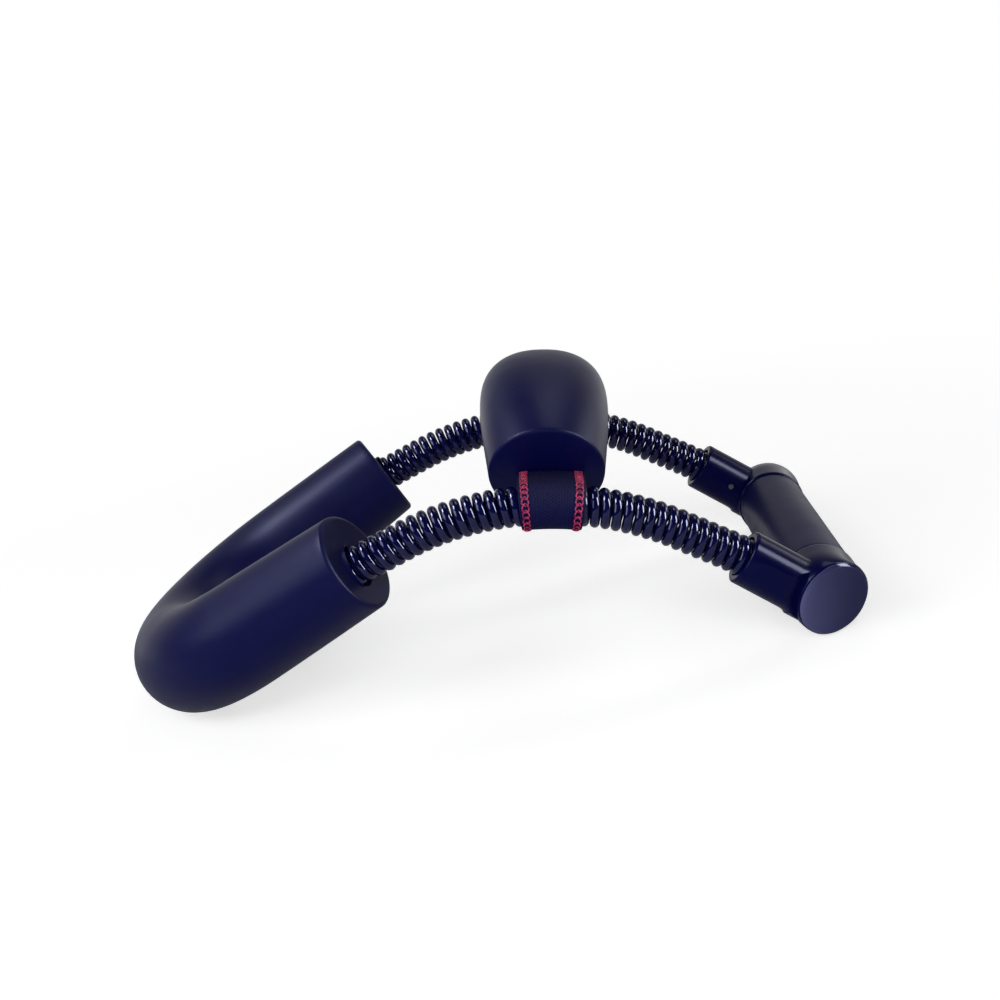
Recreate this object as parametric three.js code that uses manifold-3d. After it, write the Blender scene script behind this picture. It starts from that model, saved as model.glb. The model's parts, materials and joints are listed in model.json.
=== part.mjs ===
// Spring wrist exerciser: two close-wound springs join a padded forearm rest to a hand grip,
// and a webbing strap carries an arched foam pad over the wrist.
// Lengths are in millimetres. The model is laid out as it is worn, with the centre of the
// springs' bend at the origin, X towards the grip and Z up, then tipped to stand on a table.
import * as THREE from 'three';
import { mergeVertices } from 'three/addons/utils/BufferGeometryUtils.js';
import Module from 'manifold-3d';

const wasm = await Module();
wasm.setup();

// Flat sides on round pieces, by size of the piece, and steps along bent ones
const FINE = 28;
const FOAM_SIDES = 24;
const MEDIUM = 20;
const SMALL = 12;
const REAR_BEND_STEPS = 14;
const ARCH_STEPS = 12;
const EDGE_STEPS = 2;
const ROD_STEPS = 36;
const ROD_GUIDES = 12;
const STRAP_BAND_STEPS = 12;
const STRAP_LOOP_STEPS = 20;
const STRAP_WIDTH_STEPS = 3;
const TIP_ROUNDS = 8;

// Fits
const GAP = 0.3;
const OVERRUN = 20;
const WELD = 1e-4;

// Springs: bend, a slight droop before the grip, spacing, wire and the length hidden in the pad
const BEND_RADIUS = 123.5;
const BEND_ANGLE = THREE.MathUtils.degToRad(26);
const DROOP_START = 77;
const DROOP_ANGLE = THREE.MathUtils.degToRad(5.6);
const SPRING_SPACING = 146;
const SPRING_DIAMETER = 16.2;
const WIRE_DIAMETER = 3.6;
const SPRING_PITCH = 4.4;
const CURL_STEPS = 8;
const WIRE_SIDES = 5;
const SPRING_BEHIND = 74.5;
const SPRING_AHEAD = 84.3;
const SPRING_IN_PAD = 16;
const WIRE_TURN_RADIUS = 3.2;
const WIRE_TURN_STEPS = 4;

// Rear frame: bent rod, collars and pins
const ROD_DIAMETER = 8;
const ROD_IN_SPRING = 14;
const COLLAR_DIAMETER = 16.4;
const COLLAR_LENGTH = 8;
const COLLAR_CHAMFER = 0.8;
const PIN_DIAMETER = 2.5;
const CROSS_PIN_LENGTH = 15;

// Rear pad: a foam tube bent to a U, a little thicker round its bottom
const REAR_PAD_DIAMETER = 41.4;
const REAR_PAD_SWELL = 0.146;
const REAR_PAD_SLOPE = THREE.MathUtils.degToRad(33.7);
const REAR_PAD_SPLAY = THREE.MathUtils.degToRad(13);
const REAR_PAD_LEG = 59.7;
const REAR_PAD_MOUTH_INSET = 3;
const REAR_PAD_MOUTH_RISE = 1.2;
const REAR_PAD_MOUTH_BACK = 0.9;
const REAR_PAD_MOUTH_BORE = 17.4;
const REAR_PAD_EDGE = 2;
const REST_FLAT_DEPTH = 0.5;

// Wrist strap: webbing that runs through the arched pad and round each spring
const STRAP_AHEAD = 5.6;
const STRAP_WIDTH = 25;
const STRAP_THICKNESS = 1.2;

// Arched pad: a foam tube bowed over the wrist, whose ends stop short of the springs
const ARCH_PAD_DIAMETER = 46.2;
const ARCH_PAD_SWELL = 0.18;
const ARCH_PAD_SINK = 0.03;
const ARCH_PAD_BOXINESS = 0.17;
const ARCH_PAD_AHEAD = 4.1;
const ARCH_END_INSET = 14;
const ARCH_END_RISE = 8.7;
const ARCH_HALF_ANGLE = THREE.MathUtils.degToRad(28.5);
const ARCH_PAD_EDGE = 1.5;
const ARCH_SLOT_SPARE = 0.6;

// Elbows: sleeve over the spring, barrel on the handle axis, port for the end cap
const SLEEVE_DIAMETER = 22.2;
const SLEEVE_BORE = 17.2;
const SLEEVE_CHAMFER = 0.8;
const SLEEVE_FLARE_START = 22;
const SLEEVE_FLARE_LENGTH = 4;
const SLEEVE_FLARE = 1;
const SLEEVE_LENGTH = 36.8;
const BARREL_LIFT = 2.8;
const BARREL_DIAMETER = 31.2;
const BARREL_INNER_END = 57;
const BARREL_CHAMFER = 1.2;
const BARREL_STRAIGHT = 9;
const PORT_TILT = THREE.MathUtils.degToRad(25.4);
const PORT_REACH = 6.6;
const PORT_DIAMETER = 31.6;
const PORT_RIM = 3;
const PORT_BORE = 23.6;
const PORT_BORE_DEPTH = 4.5;

// Plugs that hold the springs in the elbows, and the wall between their tails and the nuts
const PLUG_FLANGE_LENGTH = 5;
const PLUG_TAIL_DIAMETER = 9;
const PLUG_TAIL_LENGTH = 5.4;
const PLUG_SPIGOT_DIAMETER = 8;
const PLUG_SPIGOT_LENGTH = 13;
const PLUG_CHAMFER = 0.8;
const PLUG_WALL = 2.6;

// End caps
const CAP_DIAMETER = 31.2;
const CAP_THICKNESS = 1.8;
const CAP_BEVEL = 0.8;
const CAP_SPIGOT_WALL = 1.5;
const CAP_SPIGOT_LENGTH = 4;

// Handle: axle, tube and grip between the elbows
const AXLE_DIAMETER = 8;
const SOCKET_DEPTH = 5;
const WEB_THICKNESS = 4.5;
const NUT_POCKET_DIAMETER = 19;
const WASHER_DIAMETER = 16;
const WASHER_THICKNESS = 1.4;
const NUT_ACROSS_FLATS = 13;
const NUT_HEIGHT = 4.5;
const AXLE_PAST_NUT = 1;
const TUBE_DIAMETER = 22;
const TUBE_WALL = 1.5;
const GRIP_DIAMETER = 30;
const GRIP_EDGE = 2;

// Finishes: colour, roughness and metalness
const FOAM = { color: 0x1b1c3a, roughness: 0.85, metalness: 0 };
const ENAMEL = { color: 0x11122c, roughness: 0.2, metalness: 0.1 };
const MOULDING = { color: 0x121330, roughness: 0.25, metalness: 0 };
const CAP_PLASTIC = { color: 0x2a2c4c, roughness: 0.45, metalness: 0 };
const WEBBING = { color: 0x101128, roughness: 0.9, metalness: 0 };
const STEEL = { color: 0x8d8f94, roughness: 0.35, metalness: 1 };
const RUBBER = { color: 0x17182e, roughness: 0.8, metalness: 0 };

// Measures that follow from the sizes above
const HALF_SPACING = SPRING_SPACING / 2;
const COIL_RADIUS = (SPRING_DIAMETER - WIRE_DIAMETER) / 2;
const BEND_LENGTH = BEND_RADIUS * BEND_ANGLE;
const DROOP_LENGTH = BEND_RADIUS * DROOP_ANGLE;
const REAR_PAD_BOTTOM_RADIUS = (REAR_PAD_DIAMETER / 2) * (1 + REAR_PAD_SWELL);
const SPRING_REAR_END = -(SPRING_BEHIND + SPRING_IN_PAD);
const HANDLE_AHEAD = SPRING_AHEAD + SLEEVE_LENGTH;
const COLLAR_FRONT = SPRING_REAR_END - GAP;
const COLLAR_REAR = COLLAR_FRONT - COLLAR_LENGTH;
const PLUG_TAIL_END = HANDLE_AHEAD - NUT_POCKET_DIAMETER / 2 - PLUG_WALL - GAP;
const PLUG_FLANGE_FRONT = PLUG_TAIL_END - PLUG_TAIL_LENGTH;
const PLUG_FLANGE_REAR = PLUG_FLANGE_FRONT - PLUG_FLANGE_LENGTH;
const SPRING_FRONT_END = PLUG_FLANGE_REAR - GAP;
const PLUG_FLANGE_DIAMETER = SLEEVE_BORE - 2 * GAP;
const SOCKET_FLOOR = BARREL_INNER_END + SOCKET_DEPTH;
const POCKET_FLOOR = SOCKET_FLOOR + WEB_THICKNESS;
const WASHER_INNER_FACE = POCKET_FLOOR + GAP;
const NUT_INNER_FACE = WASHER_INNER_FACE + WASHER_THICKNESS + GAP;
const AXLE_END = NUT_INNER_FACE + NUT_HEIGHT + AXLE_PAST_NUT;

const X = new THREE.Vector3(1, 0, 0);
const Y = new THREE.Vector3(0, 1, 0);
const Z = new THREE.Vector3(0, 0, 1);

// A point, a direction and an outward direction at a length along the springs' centreline,
// counted from the top of the bend, positive towards the grip
function springLine(length) {
  const onBend = THREE.MathUtils.clamp(length, -BEND_LENGTH, BEND_LENGTH);
  const onDroop = THREE.MathUtils.clamp(length - DROOP_START, 0, DROOP_LENGTH);
  const beforeDroop = Math.min(length, DROOP_START) - onBend;
  const afterDroop = Math.max(length - DROOP_START, 0) - onDroop;
  const heading = (angle) => new THREE.Vector3(Math.cos(angle), 0, -Math.sin(angle));
  const angle = (onBend + onDroop) / BEND_RADIUS;
  const outward = new THREE.Vector3(Math.sin(angle), 0, Math.cos(angle));
  const forward = heading(angle);
  const point = outward.clone().multiplyScalar(BEND_RADIUS);
  point.addScaledVector(heading(onBend / BEND_RADIUS), beforeDroop);
  point.addScaledVector(forward, afterDroop);
  return { point, forward, outward };
}

// The same on the right-hand spring, which lies towards negative Y
function rightSpring(length) {
  const line = springLine(length);
  line.point.y = -HALF_SPACING;
  return line;
}

// Matrix that carries a piece's own Z axis to a direction, its X axis near a second one
function placedAt(point, along, near = Y) {
  const z = along.clone().normalize();
  const y = new THREE.Vector3().crossVectors(z, near).normalize();
  const x = new THREE.Vector3().crossVectors(y, z);
  return new THREE.Matrix4().makeBasis(x, y, z).setPosition(point);
}

// Closed solid of a geometry, with doubled corners joined and empty triangles left out
function solidOf(geometry) {
  const bare = geometry.clone();
  bare.deleteAttribute('normal');
  bare.deleteAttribute('uv');
  const welded = mergeVertices(bare, WELD);
  const kept = [];
  const index = welded.index.array;
  for (let i = 0; i < index.length; i += 3) {
    const [a, b, c] = [index[i], index[i + 1], index[i + 2]];
    if (a !== b && b !== c && c !== a) kept.push(a, b, c);
  }
  const vertProperties = new Float32Array(welded.attributes.position.array);
  const triVerts = new Uint32Array(kept);
  return new wasm.Manifold(new wasm.Mesh({ numProp: 3, vertProperties, triVerts }));
}

function geometryOf(solid) {
  const mesh = solid.getMesh();
  const geometry = new THREE.BufferGeometry();
  const corners = new THREE.BufferAttribute(new Float32Array(mesh.vertProperties), 3);
  geometry.setAttribute('position', corners);
  geometry.setIndex(new THREE.BufferAttribute(new Uint32Array(mesh.triVerts), 1));
  geometry.computeVertexNormals();
  return geometry;
}

// Solid mirrored to the other side of the symmetry plane, its faces turned back outwards
function mirrored(solid) {
  const geometry = geometryOf(solid);
  geometry.scale(1, -1, 1);
  const index = geometry.index.array;
  for (let i = 0; i < index.length; i += 3) {
    [index[i + 1], index[i + 2]] = [index[i + 2], index[i + 1]];
  }
  return solidOf(geometry);
}

// Solid of revolution about its own Z from pairs of radius and height
function turned(profile, sides, matrix) {
  const points = profile.map(([radius, height]) => new THREE.Vector2(radius, height));
  const geometry = new THREE.LatheGeometry(points, sides);
  geometry.rotateX(Math.PI / 2);
  return solidOf(geometry.applyMatrix4(matrix));
}

// Plain bar from a start to a length along its own Z, with one chamfer for both ends
function bar(radius, start, end, chamfer, sides, matrix) {
  const profile = [[0, start], [radius - chamfer, start], [radius, start + chamfer],
    [radius, end - chamfer], [radius - chamfer, end], [0, end]];
  return turned(profile, sides, matrix);
}

// Hole cutter along its own Z
function drill(radius, start, end, sides, matrix) {
  return turned([[0, start], [radius, start], [radius, end], [0, end]], sides, matrix);
}

// Skin over rings of points: each station has a centre, two half-axes and a shared phase, and
// a power below one makes its ring boxier than an ellipse
function skinned(stations, sides, phase = 0) {
  const corners = [];
  const boxed = (value, power) => Math.sign(value) * Math.abs(value) ** power;
  for (const { centre, u, v, power = 1 } of stations) {
    for (let j = 0; j < sides; j += 1) {
      const turn = phase + (2 * Math.PI * j) / sides;
      const corner = centre.clone();
      corner.addScaledVector(u, boxed(Math.cos(turn), power));
      corner.addScaledVector(v, boxed(Math.sin(turn), power));
      corners.push(corner);
    }
  }
  const last = stations.length - 1;
  const startHub = corners.push(stations[0].centre) - 1;
  const endHub = corners.push(stations[last].centre) - 1;
  const faces = [];
  for (let j = 0; j < sides; j += 1) {
    const k = (j + 1) % sides;
    for (let i = 0; i < last; i += 1) {
      const [a, b] = [i * sides + j, i * sides + k];
      faces.push(a, b, a + sides, b, b + sides, a + sides);
    }
    faces.push(startHub, k, j, endHub, last * sides + j, last * sides + k);
  }
  const geometry = new THREE.BufferGeometry().setFromPoints(corners);
  geometry.setIndex(faces);
  return solidOf(geometry);
}

// Stations of a round bar along a path: at both ends a quarter-round edge draws it in,
// and between them it has one station at each of the path's stops
function paddedStations(path, radiusAt, edge) {
  const stations = [];
  const station = (distance, drawn) => {
    const { point, along, side } = path.at(distance);
    const across = new THREE.Vector3().crossVectors(along, side);
    const radius = radiusAt(distance / path.length);
    stations.push({
      centre: point,
      u: side.clone().multiplyScalar(radius.side - drawn),
      v: across.multiplyScalar(radius.across - drawn),
      power: radius.power,
    });
  };
  const edgeTurns = [];
  for (let i = 0; i <= EDGE_STEPS; i += 1) edgeTurns.push((i / EDGE_STEPS) * (Math.PI / 2));
  edgeTurns.forEach((turn) => station(edge * (1 - Math.cos(turn)), edge * (1 - Math.sin(turn))));
  path.stops.forEach((stop) => station(stop, 0));
  edgeTurns.reverse();
  edgeTurns.forEach((turn) => {
    station(path.length - edge * (1 - Math.cos(turn)), edge * (1 - Math.sin(turn)));
  });
  return stations;
}

// Rear pad's centreline: a straight leg down from the mouth, a round bottom and the other leg
function rearPadPath() {
  const slope = new THREE.Vector3(Math.cos(REAR_PAD_SLOPE), 0, Math.sin(REAR_PAD_SLOPE));
  const normal = new THREE.Vector3().crossVectors(slope, Y);
  const mouth = springLine(-SPRING_BEHIND).point;
  mouth.addScaledVector(slope, -REAR_PAD_MOUTH_BACK).addScaledVector(normal, REAR_PAD_MOUTH_RISE);
  mouth.y = -(HALF_SPACING - REAR_PAD_MOUTH_INSET);
  const legBack = slope.clone().multiplyScalar(-Math.cos(REAR_PAD_SPLAY));
  legBack.addScaledVector(Y, Math.sin(REAR_PAD_SPLAY));
  const legEnd = mouth.clone().addScaledVector(legBack, REAR_PAD_LEG);
  const radius = -legEnd.y / Math.cos(REAR_PAD_SPLAY);
  const sweep = Math.PI - 2 * REAR_PAD_SPLAY;
  const hub = legEnd.clone().addScaledVector(slope, radius * Math.sin(REAR_PAD_SPLAY));
  hub.y = 0;
  const bendLength = radius * sweep;
  const length = 2 * REAR_PAD_LEG + bendLength;
  const stops = [];
  for (let i = 0; i <= REAR_BEND_STEPS; i += 1) {
    stops.push(REAR_PAD_LEG + (bendLength * i) / REAR_BEND_STEPS);
  }
  const at = (distance) => {
    const round = THREE.MathUtils.clamp(distance - REAR_PAD_LEG, 0, bendLength);
    const angle = -sweep / 2 + round / radius;
    const point = hub.clone();
    point.addScaledVector(slope, -radius * Math.cos(angle));
    point.addScaledVector(Y, radius * Math.sin(angle));
    const along = slope.clone().multiplyScalar(Math.sin(angle));
    along.addScaledVector(Y, Math.cos(angle));
    point.addScaledVector(along, distance - REAR_PAD_LEG - round);
    return { point, along, side: normal };
  };
  return { at, length, stops, lowest: at(length / 2).point };
}

const REAR_PATH = rearPadPath();

// The sleeve's axis ends under this point of the barrel's axis, and the cap's port looks out
// and forward from it
const SLEEVE_END = rightSpring(HANDLE_AHEAD);
const JOINT = springLine(BEND_LENGTH);
JOINT.point.copy(SLEEVE_END.point).addScaledVector(SLEEVE_END.outward, BARREL_LIFT);
const PORT_AXIS = Y.clone().multiplyScalar(-Math.cos(PORT_TILT));
PORT_AXIS.addScaledVector(JOINT.forward, Math.sin(PORT_TILT));
const PORT_FACE = JOINT.point.clone().addScaledVector(PORT_AXIS, PORT_REACH - CAP_THICKNESS - GAP);

// Pieces on the handle's own axis are drawn along Z and laid on that axis
const HANDLE = placedAt(JOINT.point.clone().setY(0), Y.clone().negate(), X);

// Tip of the model so that the rear pad's flat and the rims of the end caps share one level,
// found by rounds of correction
function tableTip() {
  const cap = JOINT.point.clone().addScaledVector(PORT_AXIS, PORT_REACH - CAP_BEVEL);
  const run = cap.x - REAR_PATH.lowest.x;
  const rise = cap.z - REAR_PATH.lowest.z;
  const padHeight = REAR_PAD_BOTTOM_RADIUS - REST_FLAT_DEPTH;
  let tip = Math.atan2(rise, run);
  for (let round = 0; round < TIP_ROUNDS; round += 1) {
    const lean = PORT_AXIS.dot(Z.clone().applyAxisAngle(Y, -tip));
    const capHeight = (CAP_DIAMETER / 2) * Math.sqrt(1 - lean ** 2);
    tip = Math.atan2(rise, run) - Math.asin((capHeight - padHeight) / Math.hypot(run, rise));
  }
  return tip;
}

const TIP = tableTip();
const DOWN = Z.clone().negate().applyAxisAngle(Y, -TIP);

// Rod centreline: out of the spring, over to the pad's leg, round the U and back
function rodPath() {
  const points = [];
  const inSpring = SPRING_REAR_END + ROD_IN_SPRING;
  const onSpringAxis = [inSpring, SPRING_REAR_END, COLLAR_REAR - GAP, COLLAR_REAR - ROD_DIAMETER / 2];
  for (const length of onSpringAxis) points.push(rightSpring(length).point);
  const joined = REAR_PAD_LEG;
  const shared = REAR_PATH.length - 2 * joined;
  for (let i = 0; i <= ROD_GUIDES; i += 1) {
    points.push(REAR_PATH.at(joined + (shared * i) / ROD_GUIDES).point);
  }
  const far = points.slice(0, onSpringAxis.length).map((point) => point.clone().setY(-point.y));
  return new THREE.CatmullRomCurve3([...points, ...far.reverse()], false, 'centripetal');
}

const ROD_PATH = rodPath();

// The rod, or the channel that it lies in when it is given a clearance
function rodBar(clearance) {
  const circle = new THREE.Shape().absarc(0, 0, ROD_DIAMETER / 2 + clearance, 0, 2 * Math.PI);
  return solidOf(new THREE.ExtrudeGeometry(circle, {
    curveSegments: SMALL / 2, steps: ROD_STEPS, extrudePath: ROD_PATH,
  }));
}

function rearRod() {
  const hole = collarPinBar(GAP);
  return rodBar(0).subtract(hole).subtract(mirrored(hole));
}

function rearPad() {
  const swollen = (share) => {
    const radius = (REAR_PAD_DIAMETER / 2) * (1 + REAR_PAD_SWELL * Math.sin(Math.PI * share));
    return { side: radius, across: radius };
  };
  const foam = skinned(paddedStations(REAR_PATH, swollen, REAR_PAD_EDGE), FOAM_SIDES);
  const mouth = rightSpring(COLLAR_REAR - GAP);
  const boreLength = SPRING_IN_PAD + COLLAR_LENGTH + OVERRUN;
  const bore = drill(REAR_PAD_MOUTH_BORE / 2, 0, boreLength, MEDIUM, placedAt(mouth.point, mouth.forward));
  const floor = new THREE.BoxGeometry(REAR_PAD_DIAMETER, REAR_PAD_DIAMETER, OVERRUN);
  const depth = REAR_PAD_BOTTOM_RADIUS - REST_FLAT_DEPTH;
  const under = REAR_PATH.lowest.clone().addScaledVector(DOWN, depth);
  floor.applyMatrix4(placedAt(under.addScaledVector(DOWN, OVERRUN / 2), DOWN));
  return foam
    .subtract(rodBar(GAP))
    .subtract(bore)
    .subtract(mirrored(bore))
    .subtract(solidOf(floor));
}

function rearCollar() {
  const { point, forward } = rightSpring(COLLAR_REAR);
  const place = placedAt(point, forward);
  const body = bar(COLLAR_DIAMETER / 2, 0, COLLAR_LENGTH, COLLAR_CHAMFER, MEDIUM, place);
  const hole = drill(ROD_DIAMETER / 2 + GAP, -OVERRUN, OVERRUN, SMALL, place);
  return body.subtract(hole).subtract(collarPinBar(GAP));
}

// Cross pin through collar and rod, or its hole when it is given a clearance
function collarPinBar(clearance) {
  const { point } = rightSpring(COLLAR_REAR + COLLAR_LENGTH / 2);
  const half = CROSS_PIN_LENGTH / 2 + (clearance ? OVERRUN : 0);
  return drill(PIN_DIAMETER / 2 + clearance, -half, half, SMALL, placedAt(point, Y, X));
}

// Points of one spring's wire: a helix whose ends turn to run square to the seats
function wireStations() {
  const stations = [];
  const lead = WIRE_TURN_RADIUS + WIRE_DIAMETER;
  const start = SPRING_REAR_END + lead;
  const end = SPRING_FRONT_END - lead;
  const curls = Math.round((end - start) / SPRING_PITCH);
  const turnAngle = WIRE_TURN_RADIUS / COIL_RADIUS;
  const route = [[turnAngle, SPRING_REAR_END], [turnAngle, SPRING_REAR_END + WIRE_DIAMETER]];
  for (let i = 1; i < WIRE_TURN_STEPS; i += 1) {
    const bend = (i / WIRE_TURN_STEPS) * (Math.PI / 2);
    route.push([turnAngle * Math.cos(bend), start - WIRE_TURN_RADIUS * (1 - Math.sin(bend))]);
  }
  for (let i = 0; i <= curls * CURL_STEPS; i += 1) {
    const share = i / (curls * CURL_STEPS);
    route.push([-share * curls * 2 * Math.PI, THREE.MathUtils.lerp(start, end, share)]);
  }
  const closing = -curls * 2 * Math.PI;
  for (let i = WIRE_TURN_STEPS - 1; i >= 1; i -= 1) {
    const bend = (i / WIRE_TURN_STEPS) * (Math.PI / 2);
    route.push([closing - turnAngle * Math.cos(bend), end + WIRE_TURN_RADIUS * (1 - Math.sin(bend))]);
  }
  route.push([closing - turnAngle, SPRING_FRONT_END - WIRE_DIAMETER]);
  route.push([closing - turnAngle, SPRING_FRONT_END]);
  const radials = route.map(([turn, length]) => {
    const { outward } = springLine(length);
    return outward.clone().multiplyScalar(Math.cos(turn)).addScaledVector(Y, Math.sin(turn));
  });
  const centres = route.map(([, length], i) => springLine(length).point
    .addScaledVector(radials[i], COIL_RADIUS));
  centres.forEach((centre, i) => {
    const before = centres[Math.max(i - 1, 0)];
    const after = centres[Math.min(i + 1, centres.length - 1)];
    const along = after.clone().sub(before).normalize();
    const across = new THREE.Vector3().crossVectors(along, radials[i]).normalize();
    const out = new THREE.Vector3().crossVectors(across, along);
    const radius = WIRE_DIAMETER / 2;
    stations.push({ centre, u: out.multiplyScalar(radius), v: across.multiplyScalar(radius) });
  });
  return stations;
}

const WIRE = wireStations();

// Least clear distance between a curl and the next one, over points on the wire's centreline
function leastWireGap() {
  const far = CURL_STEPS / 2;
  let least = Infinity;
  for (let i = 0; i < WIRE.length; i += 1) {
    for (let j = i + far; j < Math.min(i + 2 * CURL_STEPS, WIRE.length); j += 1) {
      least = Math.min(least, WIRE[i].centre.distanceTo(WIRE[j].centre));
    }
  }
  return least - WIRE_DIAMETER;
}

console.log(`least gap between the curls of a spring: ${leastWireGap().toFixed(2)} mm`);

function spring(side) {
  const shift = new THREE.Vector3(0, side * HALF_SPACING, 0);
  const stations = WIRE.map(({ centre, u, v }) => ({ centre: centre.clone().add(shift), u, v }));
  return skinned(stations, WIRE_SIDES);
}

// Steel plug in the sleeve: spigot inside the spring, flange behind it and a short tail
function frontPlug() {
  const { point, forward } = rightSpring(PLUG_FLANGE_REAR);
  const spigot = PLUG_SPIGOT_DIAMETER / 2;
  const flange = PLUG_FLANGE_DIAMETER / 2;
  const tail = PLUG_TAIL_DIAMETER / 2;
  const end = PLUG_FLANGE_LENGTH + PLUG_TAIL_LENGTH;
  const profile = [[0, -PLUG_SPIGOT_LENGTH], [spigot - PLUG_CHAMFER, -PLUG_SPIGOT_LENGTH],
    [spigot, PLUG_CHAMFER - PLUG_SPIGOT_LENGTH], [spigot, 0], [flange, 0],
    [flange, PLUG_FLANGE_LENGTH], [tail, PLUG_FLANGE_LENGTH], [tail, end - PLUG_CHAMFER],
    [tail - PLUG_CHAMFER, end], [0, end]];
  return turned(profile, MEDIUM, placedAt(point, forward)).subtract(plugPinBar(GAP));
}

// Blind pin from the inner side of the sleeve into the plug's flange, or its hole
function plugPinBar(clearance) {
  const { point } = rightSpring(PLUG_FLANGE_REAR + PLUG_FLANGE_LENGTH / 2);
  const outside = SLEEVE_DIAMETER / 2 + (clearance ? OVERRUN : -GAP);
  return drill(PIN_DIAMETER / 2 + clearance, -clearance, outside, SMALL, placedAt(point, Y, X));
}

// Barrel and port as one skin, from the inner end along the handle to the tilted port face
function barrelAndPort() {
  const radius = BARREL_DIAMETER / 2;
  const port = PORT_DIAMETER / 2;
  const forward = JOINT.forward;
  const outward = JOINT.outward;
  const onHandle = (y) => new THREE.Vector3(JOINT.point.x, -y, JOINT.point.z);
  const ring = (centre, size) => ({
    centre,
    u: forward.clone().multiplyScalar(size),
    v: outward.clone().multiplyScalar(size),
  });
  const tilted = forward.clone().applyAxisAngle(outward, PORT_TILT);
  const portRing = (depth, size) => ({
    centre: PORT_FACE.clone().addScaledVector(PORT_AXIS, -depth),
    u: tilted.clone().multiplyScalar(size),
    v: outward.clone().multiplyScalar(size),
  });
  const stations = [
    ring(onHandle(BARREL_INNER_END), radius - BARREL_CHAMFER),
    ring(onHandle(BARREL_INNER_END + BARREL_CHAMFER), radius),
    ring(onHandle(BARREL_INNER_END + BARREL_STRAIGHT), radius),
    portRing(PORT_RIM, port),
    portRing(CAP_BEVEL / 2, port),
    portRing(0, port - CAP_BEVEL / 2),
  ];
  const downTurn = Math.atan2(DOWN.dot(outward), DOWN.dot(forward));
  return skinned(stations, FINE, downTurn + Math.PI / FINE);
}

function elbow() {
  const mouth = SLEEVE_END.point.clone().addScaledVector(SLEEVE_END.forward, -SLEEVE_LENGTH);
  const radius = SLEEVE_DIAMETER / 2;
  const flareEnd = SLEEVE_FLARE_START + SLEEVE_FLARE_LENGTH;
  const alongSleeve = placedAt(mouth, SLEEVE_END.forward);
  const sleeve = turned([[0, 0], [radius - SLEEVE_CHAMFER, 0], [radius, SLEEVE_CHAMFER],
    [radius, SLEEVE_FLARE_START], [radius + SLEEVE_FLARE, flareEnd],
    [radius + SLEEVE_FLARE, SLEEVE_LENGTH], [0, SLEEVE_LENGTH]], FINE, alongSleeve);
  const flangeSeat = PLUG_FLANGE_FRONT + GAP - SPRING_AHEAD;
  const tailSeat = PLUG_TAIL_END + GAP - SPRING_AHEAD;
  const port = placedAt(PORT_FACE, PORT_AXIS, X);
  return sleeve.subtract(drill(BARREL_DIAMETER, -PORT_RIM, OVERRUN, FINE, port))
    .add(barrelAndPort())
    .subtract(drill(SLEEVE_BORE / 2, -OVERRUN, flangeSeat, FINE, alongSleeve))
    .subtract(drill(PLUG_TAIL_DIAMETER / 2 + GAP, 0, tailSeat, MEDIUM, alongSleeve))
    .subtract(plugPinBar(GAP))
    .subtract(drill(TUBE_DIAMETER / 2 + GAP, 0, SOCKET_FLOOR, FINE, HANDLE))
    .subtract(drill(AXLE_DIAMETER / 2 + GAP, 0, POCKET_FLOOR + OVERRUN, SMALL, HANDLE))
    .subtract(drill(NUT_POCKET_DIAMETER / 2, POCKET_FLOOR, POCKET_FLOOR + OVERRUN, MEDIUM, HANDLE))
    .subtract(drill(PORT_BORE / 2, -PORT_BORE_DEPTH, OVERRUN, FINE, port));
}

// Press-in end cap: a bevelled disc with a thin ring that grips the port's bore
function endCap() {
  const seat = PORT_FACE.clone().addScaledVector(PORT_AXIS, GAP);
  const rim = CAP_DIAMETER / 2;
  const ring = PORT_BORE / 2 - GAP;
  const inside = ring - CAP_SPIGOT_WALL;
  const profile = [[0, 0], [inside, 0], [inside, -CAP_SPIGOT_LENGTH], [ring, -CAP_SPIGOT_LENGTH],
    [ring, 0], [rim, 0], [rim, CAP_THICKNESS - CAP_BEVEL], [rim - CAP_BEVEL, CAP_THICKNESS],
    [0, CAP_THICKNESS]];
  return turned(profile, FINE, placedAt(seat, PORT_AXIS, X));
}

function handleAxle() {
  return bar(AXLE_DIAMETER / 2, -AXLE_END, AXLE_END, AXLE_PAST_NUT / 2, SMALL, HANDLE);
}

function ringOnHandle(outer, inner, start, end) {
  const body = drill(outer.diameter / 2, start, end, outer.sides, HANDLE);
  return body.subtract(drill(inner.diameter / 2, start - OVERRUN, end + OVERRUN, inner.sides, HANDLE));
}

const AXLE_HOLE = { diameter: AXLE_DIAMETER + 2 * GAP, sides: SMALL };

function washer() {
  const rim = { diameter: WASHER_DIAMETER, sides: MEDIUM };
  return ringOnHandle(rim, AXLE_HOLE, WASHER_INNER_FACE, WASHER_INNER_FACE + WASHER_THICKNESS);
}

function nut() {
  const hexagon = { diameter: NUT_ACROSS_FLATS / Math.cos(Math.PI / 6), sides: 6 };
  return ringOnHandle(hexagon, AXLE_HOLE, NUT_INNER_FACE, NUT_INNER_FACE + NUT_HEIGHT);
}

function gripTube() {
  const end = SOCKET_FLOOR - GAP;
  const outside = { diameter: TUBE_DIAMETER, sides: FINE };
  const inside = { diameter: TUBE_DIAMETER - 2 * TUBE_WALL, sides: FINE };
  return ringOnHandle(outside, inside, -end, end);
}

function handGrip() {
  const end = BARREL_INNER_END - GAP;
  const body = bar(GRIP_DIAMETER / 2, -end, end, GRIP_EDGE, FINE, HANDLE);
  return body.subtract(drill(TUBE_DIAMETER / 2 + GAP, -end - OVERRUN, end + OVERRUN, FINE, HANDLE));
}

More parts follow.
